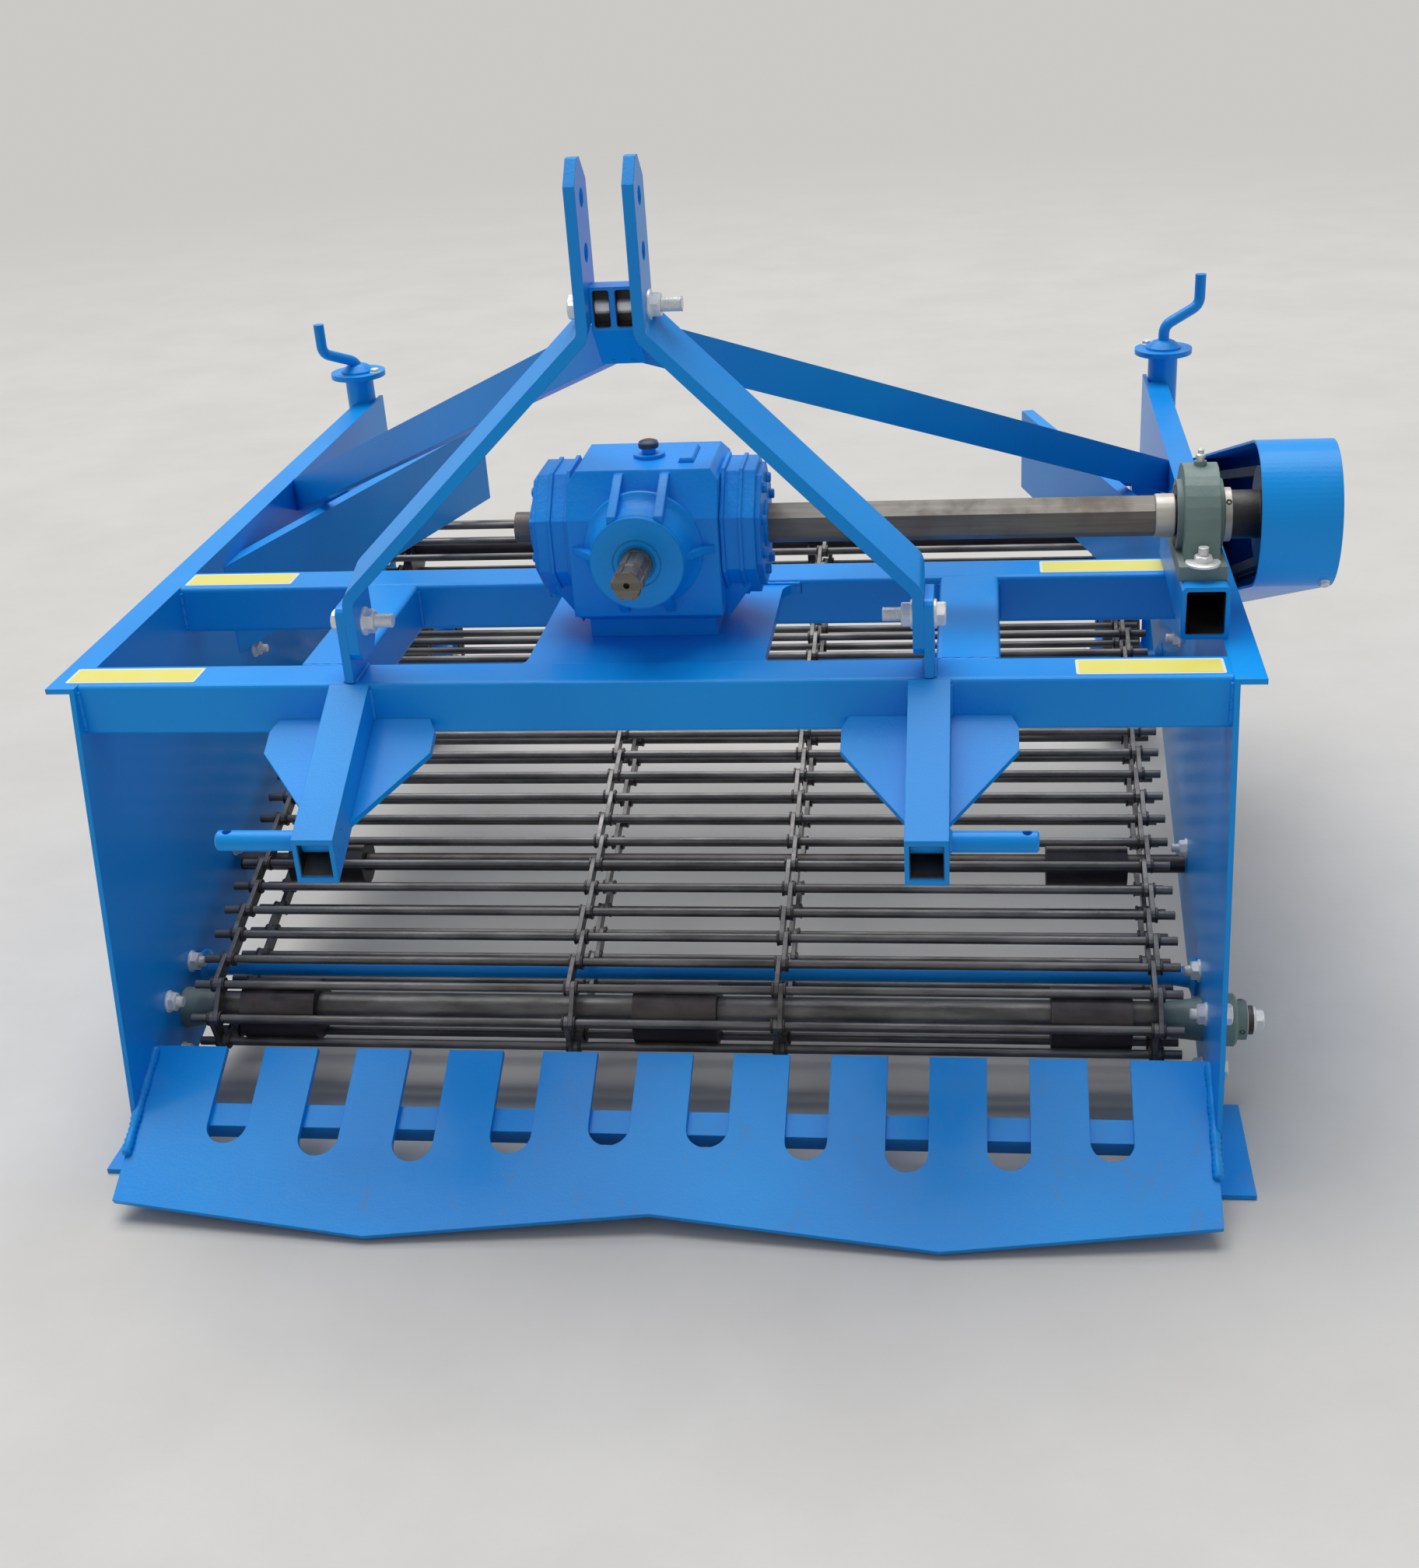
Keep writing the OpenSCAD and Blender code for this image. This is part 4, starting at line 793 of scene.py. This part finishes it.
def welds():
    work = Metalwork("weld_beads", PAINT)
    for s in (-1, 1):
        for x in (FOOT_X + BAR_T, FOOT_X + BAR_T + LUG_T):
            bead(work, [at(s * x, BAR_Y[0] + 2, TOP), at(s * x, BAR_Y[1] - 6, TOP)])
        for x in ARM_X:
            bead(work, [at(s * x, BEAM_Y, TOP - 6), at(s * x, BEAM_Y, TOP - ARM_VERT + 1)])
        bead(work, [at(s * ARM_X[0], BEAM_Y, TOP - ARM_VERT), at(s * ARM_X[1], BEAM_Y, TOP - ARM_VERT)])
        bead(work, [at(s * ARM_X[0], BEAM_Y + 1, TOP - 4), at(s * ARM_X[1], BEAM_Y + 1, TOP - 4)])
        for y in (BEAM_Y, BEAM_Y + BEAM, REAR_BEAM_Y, REAR_BEAM_Y + BEAM):
            bead(work, [at(s * IN_X, y, TOP - 6), at(s * IN_X, y, TOP - BEAM + 6)], 3.6)
        for y, d in ((BEAM_Y + BEAM, 1), (REAR_BEAM_Y, -1)):
            for x in (RAIL_X - RAIL_W / 2, RAIL_X + RAIL_W / 2):
                bead(work, [at(s * x, y, TOP - 8), at(s * x, y, TOP - BEAM + 6)])
            bead(work, [at(s * (RAIL_X - 31), y - d, TOP - 3), at(s * (RAIL_X + 31), y - d, TOP - 3)])
            bead(work, [at(s * (BED_W / 2 + 20), y, BED_Z), at(0, y, BED_Z)], 3.0)
        bead(work, [at(s * (COLUMN_X + (COLUMN_R + 0.5) * cos(radians(a))),
                       COLUMN_Y + (COLUMN_R + 0.5) * sin(radians(a)), CAP_Z) for a in range(0, 361, 12)], 2.8)
        for z in BRACKETS_Z:
            for y in (COLUMN_Y - BRACKET_HALF, COLUMN_Y + BRACKET_HALF):
                bead(work, [at(s * OUT_X, y, z), at(s * (OUT_X + 7), y, z)], 2.6)
        end = s * (IN_X - 2)
        front = SHARE_Y - SHARE_WELD * cos(SHARE_SLOPE), SHARE_Z + 3 - SHARE_WELD * sin(SHARE_SLOPE)
        bead(work, [at(end, SHARE_Y - 6, SHARE_Z), at(end, *front)], 6, 7)
    for x in (STAND_X[0] + 5, STAND_X[1] - 5):
        bead(work, [at(x, STAND_Y[0] + 4, TOP + 1), at(x, STAND_Y[1] - 8, TOP + 1)], 3)
    work.made(60)


# labels
def rounded_plate(x1, x2, y1, y2, r, z, steps=5):
    """Points round a plate with round corners."""
    corners = ((x2 - r, y2 - r, 0), (x1 + r, y2 - r, 90), (x1 + r, y1 + r, 180), (x2 - r, y1 + r, 270))
    return [Vector((cx + r * cos(radians(a + 90 * i / steps)), cy + r * sin(radians(a + 90 * i / steps)), z))
            for cx, cy, a in corners for i in range(steps + 1)]


# each label on the beams' top: its ends along x, then along y
LABELS = ((-654, -502, 17, 58), (474, 630, 17, 58), (-633, -493, 332, 372), (445, 601, 332, 372))


def labels():
    border, film = Metalwork("label_borders", PALE), Metalwork("labels", YELLOW)
    flat = Matrix.Translation(at(0, 0, TOP)) @ Matrix.Scale(0.001, 4)
    for x1, x2, y1, y2 in LABELS:
        border.skin([rounded_plate(x1, x2, y1, y2, 3, 0), rounded_plate(x1, x2, y1, y2, 3, 0.35)], flat)
        film.skin([rounded_plate(x1 + 3, x2 - 3, y1 + 3, y2 - 3, 2, z) for z in (0.2, 0.5)], flat)
    border.made()
    film.made()


# depth wheels
def depth_tyres():
    """Solid tyres, grooved round the tread and on each sidewall, with the wheels' bolts and welds."""
    half, grooves, deep = WHEEL_W / 2, (-12, 0, 12), 3.5
    profile = [(RIM_R, -half + 1), (RIM_R + 4, -half), (RIM_R + 12, -half), (RIM_R + 14, -half + 1.6),
               (RIM_R + 20, -half + 1.6), (RIM_R + 22, -half), (WHEEL_R - 9, -half), (WHEEL_R - 4, -half + 5),
               (WHEEL_R - 0.4, -half + 11)]
    for x in grooves:
        profile += [(WHEEL_R, x - 3.4), (WHEEL_R - deep, x - 2.2),
                    (WHEEL_R - deep, x + 2.2), (WHEEL_R, x + 3.4)]
    profile += [(r, -x) for r, x in profile[:9]][::-1]
    for side, s in (("left", -1), ("right", 1)):
        work = Metalwork("depth_tyre_" + side, TYRE, "depth_wheel_" + side, "tyre")
        work.ring(profile, facing(at(s * WHEEL_X, COLUMN_Y, WHEEL_R), (1, 0, 0)), 96)
        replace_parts(work.made(), "tyre_" + side)
        hub = Metalwork("wheel_hub_" + side, ZINC, "wheel_leg_" + side)
        head(hub, at(s * (WHEEL_X - WHEEL_W / 2 - 14), COLUMN_Y, WHEEL_R), (-s, 0, 0), 12)
        hub.made()
        weld = Metalwork("wheel_weld_" + side, PAINT, "depth_wheel_" + side)
        for r, x in ((24.5, 4.5), (24.5, -4.5), (82.5, 4.5), (82.5, -4.5)):
            bead(weld, [at(s * WHEEL_X + x, COLUMN_Y + r * cos(radians(a)), WHEEL_R + r * sin(radians(a)))
                        for a in range(0, 361, 10)], 2.4)
        weld.made(60)


# studio, in metres: the floor's radius and where it fades into the backdrop
BACKDROP, FLOOR = (0.60, 0.585, 0.56), ((0.59, 0.572, 0.545), (0.63, 0.613, 0.587))
FLOOR_R, FADE, FLOOR_Z = 30.0, (3.2, 8.0), -0.0004
AMBIENT, AMBIENT_STRENGTH = (0.94, 0.97, 1.0), 0.38
# the photograph's camera: focal length and optical centre in its pixels, place, and turns in radians
PHOTO_W, PHOTO_H, FOCAL, CENTRE_X, CENTRE_Y = 1824, 2016, 2468.5, 955.7, 1027.4
CAMERA_AT, YAW, TILT, ROLL, SENSOR = (370.7, -1884.1, 1406), 0.136, -0.461, -0.062, 36.0


def floor():
    """A wide pale floor that fades into the backdrop, and keeps the digger's shadow."""
    disc = bmesh.new()
    bmesh.ops.create_circle(disc, cap_ends=True, segments=96, radius=FLOOR_R)
    mesh = bpy.data.meshes.new("studio_floor")
    disc.to_mesh(mesh)
    disc.free()
    screed = Finish("floor_screed", roughness=0.85, specular_ior_level=0.2)
    speck = screed.noise(3.0, 5.0, 0.6)
    screed.dress(screed.mix(speck.step(0.3, 0.7), *FLOOR), 0.8 + speck * 0.1,
                 screed.bump(screed.noise(80.0, 3.0), 0.0004))
    away = screed.node("ShaderNodeVectorMath", {"operation": "LENGTH"}, {0: screed.place}, out="Value")
    glow = screed.node("ShaderNodeEmission", {}, {"Color": BACKDROP, "Strength": 1.0})
    blend = screed.node("ShaderNodeMixShader", {}, {0: away.step(*FADE) * screed.plainly_seen(),
                                                    1: Field(screed, screed.shader.outputs[0]), 2: glow})
    screed.feed(screed.output.inputs[0], blend)
    mesh.materials.append(screed.material)
    ground = bpy.data.objects.new("studio_floor", mesh)
    ground.location.z = FLOOR_Z
    bpy.context.scene.collection.objects.link(ground)


def world_light():
    world = bpy.data.worlds.new("studio")
    bpy.context.scene.world = world
    world.use_nodes = True
    sky = Bench(world.node_tree)
    ambient = sky.node("ShaderNodeBackground", {}, {"Color": AMBIENT, "Strength": AMBIENT_STRENGTH})
    seen = sky.node("ShaderNodeBackground", {}, {"Color": BACKDROP, "Strength": 1.0})
    both = sky.node("ShaderNodeMixShader", {}, {0: sky.plainly_seen(), 1: ambient, 2: seen})
    sky.node("ShaderNodeOutputWorld", {}, {0: both})


def wide_lamp(name, direction, spread, strength):
    """A large soft lamp far away, shining along direction; spread is its width in degrees."""
    lamp = bpy.data.lights.new(name, "SUN")
    lamp.angle, lamp.energy = radians(spread), strength
    holder = bpy.data.objects.new(name, lamp)
    holder.rotation_euler = Vector(direction).to_track_quat("-Z", "Y").to_euler()
    bpy.context.scene.collection.objects.link(holder)


def camera():
    """The photograph's view: where it stood, how it was turned, and its long lens."""
    look = Vector((-sin(YAW) * cos(TILT), cos(YAW) * cos(TILT), sin(TILT)))
    level = Vector((cos(YAW), sin(YAW), 0.0))
    right = level * cos(ROLL) + level.cross(look) * sin(ROLL)
    up = right.cross(look)
    lens = bpy.data.cameras.new("photo_camera")
    lens.sensor_width, lens.lens = SENSOR, SENSOR * FOCAL / PHOTO_H
    lens.shift_x, lens.shift_y = (PHOTO_W / 2 - CENTRE_X) / PHOTO_H, (CENTRE_Y - PHOTO_H / 2) / PHOTO_H
    stand = bpy.data.objects.new("photo_camera", lens)
    turn = Matrix((right, up, -look)).transposed()
    stand.matrix_world = Matrix.Translation(at(*CAMERA_AT)) @ turn.to_4x4()
    bpy.context.scene.collection.objects.link(stand)
    bpy.context.scene.camera = stand


def studio():
    bpy.context.scene.view_settings.view_transform = "Standard"
    floor()
    world_light()
    wide_lamp("sky_panel", direction=(0.15, -0.34, -1.0), spread=52, strength=2.55)
    camera()


dress_solids()
hitch_bolts()
bearing_bolts()
panel_bolts()
tie_sockets()
roller_tube()
bearing_fittings()
pillow_fittings()
tube_shade_linings()
stand_end()
gearbox_fittings()
guard_bolts()
depth_cranks()
rod_washers()
welds()
labels()
depth_tyres()
studio()
